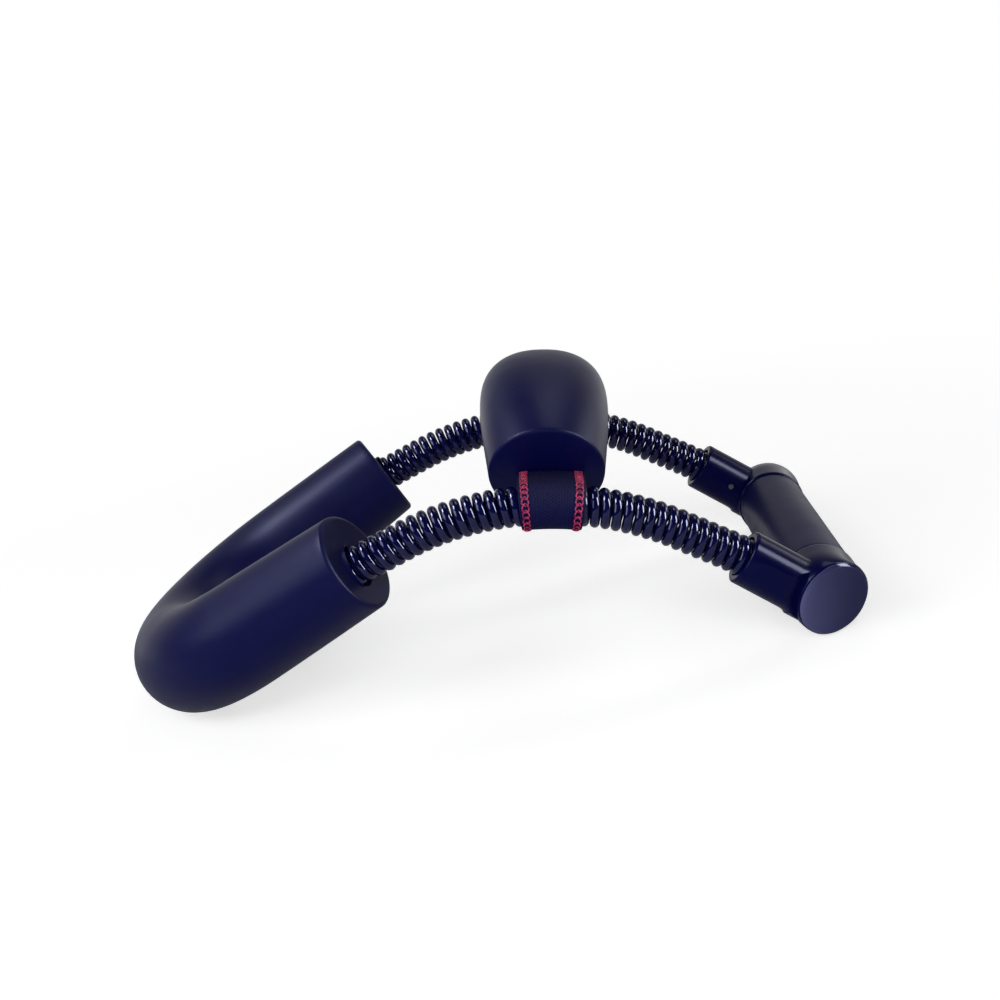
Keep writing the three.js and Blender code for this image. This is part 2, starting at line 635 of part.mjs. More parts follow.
// Arch over the wrist, in the plane across the springs: heights are counted from their centres
const ARCH_HALF_SPAN = HALF_SPACING - ARCH_END_INSET;
const ARCH_RADIUS = ARCH_HALF_SPAN / Math.sin(ARCH_HALF_ANGLE);
const ARCH_HUB_HEIGHT = ARCH_END_RISE - ARCH_RADIUS * Math.cos(ARCH_HALF_ANGLE);

function archPoint(angle, radius = ARCH_RADIUS) {
  return new THREE.Vector2(radius * Math.sin(angle), ARCH_HUB_HEIGHT + radius * Math.cos(angle));
}

// The strap and the pad sit over the springs, each at its length ahead of the top of the bend
const STRAP_PLACE = new THREE.Matrix4().makeRotationY(STRAP_AHEAD / BEND_RADIUS);
const ARCH_PLACE = new THREE.Matrix4().makeRotationY(ARCH_PAD_AHEAD / BEND_RADIUS);

// Carries a shape drawn across the springs onto them: its width follows the springs' bend
function bentToSprings(geometry) {
  const position = geometry.attributes.position;
  const point = new THREE.Vector3();
  for (let i = 0; i < position.count; i += 1) {
    point.fromBufferAttribute(position, i);
    const angle = point.z / BEND_RADIUS;
    const height = BEND_RADIUS + point.y;
    position.setXYZ(i, height * Math.sin(angle), point.x, height * Math.cos(angle));
  }
  return geometry.applyMatrix4(STRAP_PLACE);
}

// Angle, seen from a centre, at which a line from an outer point touches a circle round it
function touchAngle(point, centre, radius, side) {
  const apart = point.clone().sub(centre);
  return apart.angle() + side * Math.acos(radius / apart.length());
}

// One drop-shaped side of the strap: from the pad's slot round the spring and back
function dropPoints(half, radius) {
  const centre = new THREE.Vector2(HALF_SPACING, 0);
  const upper = archPoint(ARCH_HALF_ANGLE, ARCH_RADIUS + half);
  const lower = archPoint(ARCH_HALF_ANGLE, ARCH_RADIUS - half);
  const first = touchAngle(upper, centre, radius, -1);
  let last = touchAngle(lower, centre, radius, 1);
  while (last > first) last -= 2 * Math.PI;
  const points = [upper];
  for (let i = 0; i <= STRAP_LOOP_STEPS; i += 1) {
    const angle = THREE.MathUtils.lerp(first, last, i / STRAP_LOOP_STEPS);
    points.push(new THREE.Vector2(Math.cos(angle), Math.sin(angle)).multiplyScalar(radius).add(centre));
  }
  points.push(lower);
  return points;
}

function strapShape() {
  const inner = SPRING_DIAMETER / 2 + GAP;
  const outer = inner + STRAP_THICKNESS;
  const top = [];
  const bottom = [];
  for (let i = 1; i < STRAP_BAND_STEPS; i += 1) {
    const angle = ARCH_HALF_ANGLE * (1 - (2 * i) / STRAP_BAND_STEPS);
    top.push(archPoint(-angle, ARCH_RADIUS + STRAP_THICKNESS));
    bottom.push(archPoint(angle, ARCH_RADIUS - STRAP_THICKNESS));
  }
  const drop = dropPoints(STRAP_THICKNESS, outer);
  const otherDrop = drop.map((point) => new THREE.Vector2(-point.x, point.y)).reverse();
  const shape = new THREE.Shape([...top, ...drop, ...bottom, ...otherDrop].reverse());
  const hole = dropPoints(GAP / 2, inner);
  shape.holes.push(new THREE.Path(hole));
  shape.holes.push(new THREE.Path(hole.map((point) => new THREE.Vector2(-point.x, point.y))));
  return shape;
}

function wristStrap() {
  const geometry = new THREE.ExtrudeGeometry(strapShape(), {
    depth: STRAP_WIDTH, steps: STRAP_WIDTH_STEPS, bevelEnabled: false,
  });
  geometry.translate(0, 0, -STRAP_WIDTH / 2);
  return solidOf(bentToSprings(geometry));
}

// Slot through the arched pad, a little larger than the strap's two layers
function archSlot() {
  const half = STRAP_THICKNESS + ARCH_SLOT_SPARE;
  const beyond = ARCH_HALF_ANGLE + OVERRUN / ARCH_RADIUS;
  const roof = [];
  const floor = [];
  for (let i = 0; i <= STRAP_BAND_STEPS; i += 1) {
    const angle = beyond * ((2 * i) / STRAP_BAND_STEPS - 1);
    roof.push(archPoint(angle, ARCH_RADIUS + half));
    floor.push(archPoint(angle, ARCH_RADIUS - half));
  }
  const width = STRAP_WIDTH + 2 * ARCH_SLOT_SPARE;
  const outline = new THREE.Shape([...roof, ...floor.reverse()]);
  const geometry = new THREE.ExtrudeGeometry(outline, {
    depth: width, steps: STRAP_WIDTH_STEPS, bevelEnabled: false,
  });
  geometry.translate(0, 0, -width / 2);
  return solidOf(bentToSprings(geometry));
}

function archPath() {
  const length = 2 * ARCH_RADIUS * ARCH_HALF_ANGLE;
  const stops = [];
  for (let i = 1; i < ARCH_STEPS; i += 1) stops.push((length * i) / ARCH_STEPS);
  const at = (distance) => {
    const angle = distance / ARCH_RADIUS - ARCH_HALF_ANGLE;
    const { x, y } = archPoint(angle);
    const point = new THREE.Vector3(0, x, BEND_RADIUS + y);
    const along = new THREE.Vector3(0, Math.cos(angle), -Math.sin(angle));
    return { point, along, side: X };
  };
  return { at, length, stops };
}

function archPad() {
  const radius = ARCH_PAD_DIAMETER / 2;
  const swollen = (share) => {
    const middle = Math.sin(Math.PI * share);
    return {
      side: radius * (1 + ARCH_PAD_SWELL * middle),
      across: radius * (1 - ARCH_PAD_SINK * middle),
      power: 1 - ARCH_PAD_BOXINESS * middle,
    };
  };
  const stations = paddedStations(archPath(), swollen, ARCH_PAD_EDGE);
  for (const { centre, u, v } of stations) {
    for (const vector of [centre, u, v]) vector.applyMatrix4(ARCH_PLACE);
  }
  return skinned(stations, FOAM_SIDES).subtract(archSlot());
}

const model = new THREE.Group();
const worn = new THREE.Group();
worn.rotation.y = TIP;
model.add(worn);

function addPiece(name, solid, finish) {
  const mesh = new THREE.Mesh(geometryOf(solid), new THREE.MeshStandardMaterial(finish));
  mesh.name = name;
  worn.add(mesh);
}

function addPair(name, solid, finish) {
  addPiece(`${name}_right`, solid, finish);
  addPiece(`${name}_left`, mirrored(solid), finish);
}

addPiece('rear_pad', rearPad(), FOAM);
addPiece('rear_rod', rearRod(), STEEL);
addPair('rear_collar', rearCollar(), STEEL);
addPair('rear_pin', collarPinBar(0), STEEL);
addPiece('spring_right', spring(-1), ENAMEL);
addPiece('spring_left', spring(1), ENAMEL);
addPair('front_plug', frontPlug(), STEEL);
addPair('plug_pin', plugPinBar(0), STEEL);
addPair('elbow', elbow(), MOULDING);
addPair('end_cap', endCap(), CAP_PLASTIC);
addPiece('handle_axle', handleAxle(), STEEL);
addPair('axle_washer', washer(), STEEL);
addPair('axle_nut', nut(), STEEL);
addPiece('grip_tube', gripTube(), STEEL);
addPiece('hand_grip', handGrip(), RUBBER);
addPiece('wrist_strap', wristStrap(), WEBBING);
addPiece('arch_pad', archPad(), FOAM);

// Stand the model on its table plane, centred over its footprint
model.updateMatrixWorld(true);
const bounds = new THREE.Box3().setFromObject(worn, true);
const middle = bounds.getCenter(new THREE.Vector3());
worn.position.set(-middle.x, -middle.y, -bounds.min.z);
model.updateMatrixWorld(true);

export default model;
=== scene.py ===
import json
import math

import bpy
import numpy as np
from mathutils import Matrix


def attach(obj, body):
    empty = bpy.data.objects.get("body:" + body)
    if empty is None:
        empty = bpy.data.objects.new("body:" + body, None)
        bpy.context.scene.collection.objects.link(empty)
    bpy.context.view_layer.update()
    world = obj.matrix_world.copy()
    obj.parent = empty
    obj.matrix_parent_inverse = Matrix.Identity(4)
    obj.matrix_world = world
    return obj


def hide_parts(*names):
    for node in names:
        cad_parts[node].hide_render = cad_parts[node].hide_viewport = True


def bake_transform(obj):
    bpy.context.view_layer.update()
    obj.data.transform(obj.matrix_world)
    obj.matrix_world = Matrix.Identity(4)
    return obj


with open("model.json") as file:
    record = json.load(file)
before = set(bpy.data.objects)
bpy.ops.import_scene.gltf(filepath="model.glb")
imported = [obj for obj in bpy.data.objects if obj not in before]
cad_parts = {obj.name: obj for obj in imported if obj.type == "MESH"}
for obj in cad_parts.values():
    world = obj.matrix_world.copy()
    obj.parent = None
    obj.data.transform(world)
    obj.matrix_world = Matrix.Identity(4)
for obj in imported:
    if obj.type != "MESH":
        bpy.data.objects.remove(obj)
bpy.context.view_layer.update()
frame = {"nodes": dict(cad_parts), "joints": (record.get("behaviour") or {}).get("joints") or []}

# Springs
# Two close-wound coil springs of black enamelled wire carry the whole exerciser. Both are wound
# the same way and bent to one arc whose ends run on straight into the pad's mouths and, after a
# slight droop, the elbows.
joint_place = {joint["name"]: np.array(joint["pos_m"]) for joint in frame["joints"]}
ACROSS = np.array([0.0, 1.0, 0.0])
BEND_CENTRE = joint_place["pad_slide"]
BEND_RADIUS = 0.1235
BEND_HALF_ANGLE = math.radians(26)
BEND_LENGTH = BEND_RADIUS * BEND_HALF_ANGLE
DROOP_START = 0.077
DROOP_ANGLE = math.radians(5.6)
DROOP_LENGTH = BEND_RADIUS * DROOP_ANGLE
FRONT_HINGE_AHEAD = 0.051
to_hinge = joint_place["front_flex"] - BEND_CENTRE
TIP = math.atan2(to_hinge[0], to_hinge[2]) - FRONT_HINGE_AHEAD / BEND_RADIUS
HALF_SPACING = 0.073
SPRING_DIAMETER = 0.0162
WIRE_DIAMETER = 0.0040
COIL_RADIUS = (SPRING_DIAMETER - WIRE_DIAMETER) / 2
SPRING_PITCH = 0.0044
PAD_MOUTH = -0.0745
SLEEVE_MOUTH = 0.0843
REACH_INTO_PAD = 0.016
REACH_INTO_SLEEVE = 0.0137
SPRING_REAR_END = PAD_MOUTH - REACH_INTO_PAD
SPRING_FRONT_END = SLEEVE_MOUTH + REACH_INTO_SLEEVE
BLEND_INTO_PAD = 0.008
BLEND_INTO_SLEEVE = 0.005
WIRE_TURN_RADIUS = 0.0032
WIRE_TURN_STEPS = 8
CURL_STEPS = 28
WIRE_SIDES = 14
STRAP_AHEAD = 0.0056
STRAP_WIDTH = 0.025
SIDES = {"right": -1, "left": 1}


def spring_line(length):
    """Centres, forward and outward directions at lengths along a spring: a point turns round the
    bend's centre by its length over the bend's radius, and past the bend's ends it runs straight
    on, but for the droop, where it turns by the same radius once more."""
    length = np.asarray(length, float)
    on_bend = np.clip(length, -BEND_LENGTH, BEND_LENGTH)
    on_droop = np.clip(length - DROOP_START, 0, DROOP_LENGTH)
    before = np.minimum(length, DROOP_START) - on_bend
    after = np.maximum(length - DROOP_START, 0) - on_droop

    def heading(angle, turn=0.0):
        return np.stack([np.cos(angle - turn), np.zeros_like(angle), -np.sin(angle - turn)], -1)

    first = TIP + on_bend / BEND_RADIUS
    angle = first + on_droop / BEND_RADIUS
    forward = heading(angle)
    outward = heading(angle, math.pi / 2)
    centre = (BEND_CENTRE + BEND_RADIUS * outward
              + before[..., None] * heading(first) + after[..., None] * forward)
    return centre, forward, outward


def skin(name, grid, ring=False, sharp=None):
    """A piece over a grid of points, rows along it and columns round it. Each point is joined to
    the next of its row, the last to the first, and to its own column in the next row. In a ring
    the last row joins the first, and otherwise a fan to its middle closes each end. The faces are
    turned over where the volume that they enclose, a sixth of the sum of triple products, is
    negative. Edges that bend by more than sharp degrees stay crisp."""
    rows, columns = grid.shape[:2]
    index = np.arange(rows * columns).reshape(rows, columns)
    lower, upper = (index, np.roll(index, -1, 0)) if ring else (index[:-1], index[1:])
    corners = [lower, np.roll(lower, -1, 1), np.roll(upper, -1, 1), upper]
    quads = np.stack(corners, -1).reshape(-1, 4)
    points = grid.reshape(-1, 3)
    fans = np.empty((0, 3), int)
    if not ring:
        points = np.vstack([points, grid[0].mean(0), grid[-1].mean(0)])
        hubs = np.full((2, columns), rows * columns) + np.array([[0], [1]])
        start = np.stack([np.roll(index[0], -1), index[0], hubs[0]], -1)
        end = np.stack([index[-1], np.roll(index[-1], -1), hubs[1]], -1)
        fans = np.vstack([start, end])
    halves = np.vstack([quads[:, :3], quads[:, [0, 2, 3]], fans])
    a, b, c = (points[halves[:, k]] for k in range(3))
    if np.einsum("ij,ij->", a, np.cross(b, c)) < 0:
        quads, fans = quads[:, ::-1], fans[:, ::-1]
    mesh = bpy.data.meshes.new(name)
    mesh.from_pydata(points.tolist(), [], quads.tolist() + fans.tolist())
    mesh.shade_smooth()
    if sharp:
        mesh.set_sharp_from_angle(angle=math.radians(sharp))
    piece = bpy.data.objects.new(name, mesh)
    bpy.context.scene.collection.objects.link(piece)
    return piece


def wire_grid():
    """One spring's wire, centred between the sides. Its route is a straight end, a quarter turn
    into the helix, equal curls from there, and the same at the other end. Each ring of points is
    the centre plus the wire's radius times a unit circle, square to the route. With it comes the
    row where the strap's middle crosses it."""
    lead = WIRE_TURN_RADIUS + WIRE_DIAMETER
    start, end = SPRING_REAR_END + lead, SPRING_FRONT_END - lead
    curls = round((end - start) / SPRING_PITCH)
    lead_turn = WIRE_TURN_RADIUS / COIL_RADIUS
    quarter = np.linspace(0, math.pi / 2, WIRE_TURN_STEPS, endpoint=False)
    turn_in = lead_turn * np.cos(quarter)
    length_in = start - WIRE_TURN_RADIUS * (1 - np.sin(quarter))
    share = np.linspace(0, 1, curls * CURL_STEPS + 1)
    whole = curls * 2 * math.pi
    turn = np.concatenate([[lead_turn], turn_in, -share * whole, -whole - turn_in[::-1],
                           [-whole - lead_turn]])
    length = np.concatenate([[SPRING_REAR_END], length_in, start + share * (end - start),
                             end + start - length_in[::-1], [SPRING_FRONT_END]])
    centre, _, outward = spring_line(length)
    radial = outward * np.cos(turn)[:, None] + ACROSS * np.sin(turn)[:, None]
    centre = centre + COIL_RADIUS * radial
    along = np.gradient(centre, axis=0)
    sideways = np.cross(along, radial)
    sideways /= np.linalg.norm(sideways, axis=1)[:, None]
    out = np.cross(sideways, along)
    out /= np.linalg.norm(out, axis=1)[:, None]
    round_wire = np.linspace(0, 2 * math.pi, WIRE_SIDES, endpoint=False)[:, None]
    circle = out[:, None] * np.cos(round_wire) + sideways[:, None] * np.sin(round_wire)
    crossing_row = int(np.argmax(length > STRAP_AHEAD))
    return centre[:, None] + WIRE_DIAMETER / 2 * circle, crossing_row


class Socket:
    """An output in a material's node tree. Arithmetic on it adds Math nodes, and node() any other."""

    def __init__(self, tree, output=None):
        self.tree = tree
        self.output = output

    def node(self, kind, inputs=None, result=0, **settings):
        """Adds a node and returns one of its outputs. Its settings come first, and then the values
        or links of its inputs."""
        made = self.tree.nodes.new("ShaderNode" + kind)
        for name, value in settings.items():
            setattr(made, name, value)
        for name, value in (inputs or {}).items():
            if isinstance(value, Socket):
                self.tree.links.new(value.output, made.inputs[name])
            else:
                made.inputs[name].default_value = value
        return Socket(self.tree, made.outputs[result])

    def maths(self, operation, *values):
        return self.node("Math", dict(enumerate(values)), operation=operation)

    def __add__(self, other):
        return self.maths("ADD", self, other)

    def __rsub__(self, other):
        return self.maths("SUBTRACT", other, self)

    def __mul__(self, other):
        return self.maths("MULTIPLY", self, other)

    def __truediv__(self, other):
        return self.maths("DIVIDE", self, other)

    __radd__ = __add__
    __rmul__ = __mul__


def colour(red, green, blue):
    """A colour as it looks on a screen, 0 to 255, turned to the linear values of a shader."""
    screen = np.array([red, green, blue]) / 255
    linear = np.where(screen <= 0.04045, screen / 12.92, ((screen + 0.055) / 1.055) ** 2.4)
    return (*linear.tolist(), 1)


def finish(name, **constants):
    """A new material with the shader's constants set. With it come the place on the object, as the
    tree's first Socket, and a function that links what varies to the shader."""
    material = bpy.data.materials.new(name)
    material.use_nodes = True
    shader = material.node_tree.nodes["Principled BSDF"]
    for key, value in constants.items():
        shader.inputs[key.replace("_", " ")].default_value = value

    def link(**varying):
        for key, value in varying.items():
            material.node_tree.links.new(value.output, shader.inputs[key.replace("_", " ")])

    place = Socket(material.node_tree).node("TexCoord", result="Object")
    return material, place, link


def between(mask, low, high):
    """A colour that goes from low to high with the mask."""
    return mask.node("Mix", {0: mask, 6: low, 7: high}, result=2, data_type="RGBA")


def cloud(place, size, detail=3.0):
    """Soft noise from 0 to 1 whose lumps are about that many metres across."""
    return place.node("TexNoise", {"Vector": place, "Scale": 1 / size, "Detail": detail})


def bump(height, depth):
    """A normal for a height from 0 to 1 that stands for that many metres."""
    return height.node("Bump", {"Height": height, "Distance": depth, "Strength": 1.0})


ENAMEL_LOW = colour(5, 7, 58)
ENAMEL_HIGH = colour(9, 11, 66)
BLUE_SHEEN = (0.70, 0.74, 1.0, 1)
enamel, place, link = finish("black_enamel", IOR=1.55, Specular_IOR_Level=0.65,
                             Specular_Tint=BLUE_SHEEN)
streaks = cloud(place, size=0.006)
fine = cloud(place, size=0.0012, detail=2.0)
link(Base_Color=between(streaks, ENAMEL_LOW, ENAMEL_HIGH),
     Roughness=0.07 + 0.05 * streaks,
     Normal=bump(fine, depth=0.000004))

SPRING_BLENDS = {
    "rear": ("rear_frame", "springs", PAD_MOUTH - BLEND_INTO_PAD, STRAP_AHEAD - STRAP_WIDTH / 2),
    "front": ("springs", "handle", STRAP_AHEAD + STRAP_WIDTH / 2, SLEEVE_MOUTH + BLEND_INTO_SLEEVE),
}
wire, crossing = wire_grid()
for side, sign in SIDES.items():
    offset = sign * HALF_SPACING * ACROSS
    spring = wire + offset
    for part, rows in (("rear", spring[:crossing + 1]), ("front", spring[crossing:])):
        half = skin(f"spring_{side}_{part}_half", rows)
        half.data.materials.append(enamel)
        first, second, blend_start, blend_end = SPRING_BLENDS[part]
        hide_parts(f"spring_{side}")
        spring_line(blend_start)[0] + offset
        spring_line(blend_end)[0] + offset
        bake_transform(half)

# Rear pad
# A closed-cell foam tube bent to a U round the steel rod. Its two cut ends face the springs, each
# with a wide mouth that the spring enters, and its round bottom lies flat where it stands.
PAD_RADIUS = 0.0207
PAD_SWELL = 0.146
PAD_SLOPE = math.radians(33.7) - TIP
PAD_SPLAY = math.radians(13)
PAD_LEG = 0.0597
PAD_MOUTH_INSET = 0.003
PAD_MOUTH_RISE = 0.0012
PAD_MOUTH_BACK = 0.0009
PAD_BORE_RADIUS = 0.0087
PAD_BORE_END = -0.0991
PAD_EDGE = 0.0018
PAD_COLUMNS = 144
PAD_BEND_ROWS = 40
PAD_LEG_ROWS = 12
PAD_LAST_ROW = 0.004
PAD_FACE_SHARES = np.array([0.03, 0.2, 0.4, 0.6, 0.8, 0.95, 1.0])[:, None]
PAD_LIP = 0.0006
PAD_BORE_ROWS = (0.004, 0.010)
CHANNEL_SWING_ROWS = 7
CHANNEL_ROWS = 30
CHANNEL_RADIUS = 0.0050
CHANNEL_START = PAD_LEG
PAD_UP = np.array([-math.sin(PAD_SLOPE), 0, math.cos(PAD_SLOPE)])
PAD_FORWARD = np.array([math.cos(PAD_SLOPE), 0, math.sin(PAD_SLOPE)])
LEG_BACK = math.sin(PAD_SPLAY) * ACROSS - math.cos(PAD_SPLAY) * PAD_FORWARD
mouth_middle = (spring_line(PAD_MOUTH)[0] - (HALF_SPACING - PAD_MOUTH_INSET) * ACROSS
                + PAD_MOUTH_RISE * PAD_UP - PAD_MOUTH_BACK * PAD_FORWARD)
leg_end = mouth_middle + PAD_LEG * LEG_BACK
PAD_BEND_RADIUS = -leg_end[1] / math.cos(PAD_SPLAY)
PAD_BEND_SWEEP = math.pi - 2 * PAD_SPLAY
PAD_HUB = (leg_end + PAD_BEND_RADIUS * math.sin(PAD_SPLAY) * PAD_FORWARD) * np.array([1, 0, 1])
PAD_HALF = PAD_LEG + PAD_BEND_RADIUS * PAD_BEND_SWEEP / 2
FOAM_LOW = colour(5, 7, 63)
FOAM_HIGH = colour(9, 11, 71)
FOAM_PORE = 0.0007
FOAM_CREASE = 50


def pad_line(distance):
    """Centres and directions at distances from the right-hand mouth: straight along the leg, then
    round the hub by the distance over the bend's radius."""
    round_hub = np.clip(distance - PAD_LEG, 0, None)
    angle = (round_hub / PAD_BEND_RADIUS - PAD_BEND_SWEEP / 2)[:, None]
    along = np.sin(angle) * PAD_FORWARD + np.cos(angle) * ACROSS
    centre = PAD_HUB - PAD_BEND_RADIUS * (np.cos(angle) * PAD_FORWARD - np.sin(angle) * ACROSS)
    return centre + (distance - PAD_LEG - round_hub)[:, None] * along, along


def rings(centre, along, up, radius, columns):
    """Rows of points round a line: each is its centre plus its radius times a unit circle that
    starts at up and is square to the line."""
    turn = np.linspace(0, 2 * math.pi, columns, endpoint=False)[None, :, None]
    sideways = np.cross(along, up)
    circle = np.cos(turn) * up[:, None] + np.sin(turn) * sideways[:, None]
    return centre[:, None] + np.reshape(radius, (-1, 1, 1)) * circle


def rounded_edge(radius, edge, steps=6):
    """How far in from an end, and how far out from the middle, the points of a quarter-round edge
    lie, from the tube's wall to its end face."""
    quarter = np.linspace(math.pi / 2, 0, steps)
    return edge * (1 - np.cos(quarter)), radius - edge * (1 - np.sin(quarter))


def swing(first, first_along, last, last_along, steps):
    """Points from one place to just before another on a cubic Hermite curve, which leaves and
    arrives in the given directions at a speed equal to the distance between the two."""
    t = np.linspace(0, 1, steps, endpoint=False)[:, None]
    reach = np.linalg.norm(last - first)
    return ((2 * t**3 - 3 * t**2 + 1) * first + (t**3 - 2 * t**2 + t) * reach * first_along
            + (3 * t**2 - 2 * t**3) * last + (t**3 - t**2) * reach * last_along)


def rear_pad_grid():
    """Half of the pad from the middle of its bottom to the right-hand mouth, over the edge, across
    the end face to the bore, down the bore and back along the rod's channel, and then the same
    half mirrored, in reverse. The wall's radius grows by the swell times the sine of half a turn
    over the whole length. Points that would lie under the table are lifted to it."""
    outer = np.concatenate([np.linspace(PAD_HALF, PAD_LEG, PAD_BEND_ROWS),
                            np.linspace(PAD_LEG, PAD_LAST_ROW, PAD_LEG_ROWS)[1:]])
    inward, edge_radius = rounded_edge(PAD_RADIUS, PAD_EDGE)
    distance = np.concatenate([outer, inward])
    radius = np.concatenate([np.full(len(outer), PAD_RADIUS), edge_radius])
    radius = radius + PAD_RADIUS * PAD_SWELL * np.sin(distance / PAD_HALF * math.pi / 2)
    centre, along = pad_line(distance)
    up = np.broadcast_to(PAD_UP, centre.shape)
    wall = rings(centre, along, up, radius, PAD_COLUMNS)
    bore_centre, bore_forward, bore_up = spring_line(np.array([PAD_MOUTH]))
    bore_centre = bore_centre - HALF_SPACING * ACROSS
    to_face = ((mouth_middle - bore_centre) @ LEG_BACK) / (bore_forward @ LEG_BACK)
    mouth_centre = bore_centre + to_face[:, None] * bore_forward
    face_centre = centre[-1] + PAD_FACE_SHARES * (mouth_centre - centre[-1])
    face_radius = radius[-1] + PAD_FACE_SHARES[:, 0] * (PAD_BORE_RADIUS + PAD_LIP - radius[-1])
    face = rings(face_centre, np.broadcast_to(LEG_BACK, face_centre.shape),
                 np.broadcast_to(PAD_UP, face_centre.shape), face_radius, PAD_COLUMNS)
    lip_depth, lip_radius = rounded_edge(0, PAD_LIP)
    bore_at = PAD_MOUTH + to_face[0] - np.concatenate([lip_depth[::-1], PAD_BORE_ROWS])
    bore_at = np.append(bore_at, PAD_BORE_END)
    bore_radius = np.full(len(bore_at), PAD_BORE_RADIUS)
    bore_radius[:len(lip_radius)] -= lip_radius[::-1]
    bore_centre, bore_forward, bore_up = spring_line(bore_at)
    bore_centre = bore_centre - HALF_SPACING * ACROSS
    bore = rings(bore_centre, -bore_forward, bore_up, bore_radius, PAD_COLUMNS)
    inner, inner_along = pad_line(np.linspace(CHANNEL_START, PAD_HALF, CHANNEL_ROWS))
    to_inner = swing(bore_centre[-1], -bore_forward[-1], inner[0], inner_along[0],
                     CHANNEL_SWING_ROWS)
    channel_centre = np.vstack([to_inner, inner])
    channel_along = np.gradient(channel_centre, axis=0)
    channel_along /= np.linalg.norm(channel_along, axis=1)[:, None]
    channel_up = PAD_UP - (channel_along @ PAD_UP)[:, None] * channel_along
    channel_up /= np.linalg.norm(channel_up, axis=1)[:, None]
    channel = rings(channel_centre, channel_along, channel_up,
                    np.full(len(channel_centre), CHANNEL_RADIUS), PAD_COLUMNS)
    half = np.concatenate([wall, face, bore, channel])
    grid = np.concatenate([half, half[-2:0:-1] * np.array([1, -1, 1])])
    grid[..., 2] = np.maximum(grid[..., 2], 0)
    return grid


foam, place, link = finish("foam_skin", IOR=1.4, Specular_IOR_Level=0.32, Specular_Tint=BLUE_SHEEN)
mottle = cloud(place, size=0.012)
skin_lumps = cloud(place, size=0.0035, detail=2.0)
pores = place.node("TexVoronoi", {"Vector": place, "Scale": 1 / FOAM_PORE}, feature="F1")
link(Base_Color=between(mottle, FOAM_LOW, FOAM_HIGH),
     Roughness=0.36 + 0.10 * mottle,
     Normal=bump(0.6 * skin_lumps + 0.4 * pores, depth=0.00006))

rear_pad = skin("rear_pad_foam", rear_pad_grid(), ring=True, sharp=FOAM_CREASE)
rear_pad.data.materials.append(foam)
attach(rear_pad, "rear_frame")
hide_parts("rear_pad")

# Wrist strap
# Black 25 mm webbing in one long loop: it runs through the arched pad in two layers, opens round
# each spring as a drop, and is edged with two columns of red chain stitch on its outer face.
STRAP_THICKNESS = 0.0012
STRAP_GAP = 0.0003
STRAP_EDGE_STEPS = 5
STRAP_FACE_STEPS = 26
STRAP_STEP = 0.0006
STRAP_ARCH_STEPS = 40
STRAP_DROP_STEPS = 60
ARCH_INSET = 0.014
ARCH_HALF_SPAN = HALF_SPACING - ARCH_INSET
ARCH_END_RISE = 0.0087
ARCH_HALF_ANGLE = math.radians(28.5)
ARCH_RADIUS = ARCH_HALF_SPAN / math.sin(ARCH_HALF_ANGLE)
ARCH_HUB_HEIGHT = ARCH_END_RISE - ARCH_RADIUS * math.cos(ARCH_HALF_ANGLE)
STITCH_COLUMN = 0.0101
STITCH_PITCH = 0.0024
STITCH_LENGTH = 0.0032
STITCH_WIDTH = 0.0030
STITCH_TAPER = 0.35
STITCH_LIFT = 0.35
STITCH_SLOPE = 0.30
STITCH_INSIDE_ARCH = 0.004
STITCH_STEPS = 20
THREAD_SIDES = 8
THREAD_DIAMETER = 0.00055
THREAD_TUFTS = (0.36, 0.62)
YARN_ACROSS = 0.0011
YARN_ALONG = 0.0013
WEBBING_LOW = colour(5, 7, 60)
WEBBING_HIGH = colour(15, 16, 76)
THREAD_LOW = colour(96, 2, 40)
THREAD_HIGH = colour(226, 58, 118)


def over_springs(width, across, height):
    """Points above the springs: width runs along them, round the bend's centre, from the strap's
    middle, and height is counted outwards from their centres."""
    angle = TIP + (STRAP_AHEAD + width) / BEND_RADIUS
    reach = BEND_RADIUS + height
    x, y, z = np.broadcast_arrays(reach * np.sin(angle), across, reach * np.cos(angle))
    return BEND_CENTRE + np.stack([x, y, z], -1)


def arch_point(angle, radius):
    """Across and height of points on a circle round the arch's hub."""
    return np.stack([radius * np.sin(angle), ARCH_HUB_HEIGHT + radius * np.cos(angle)], -1)


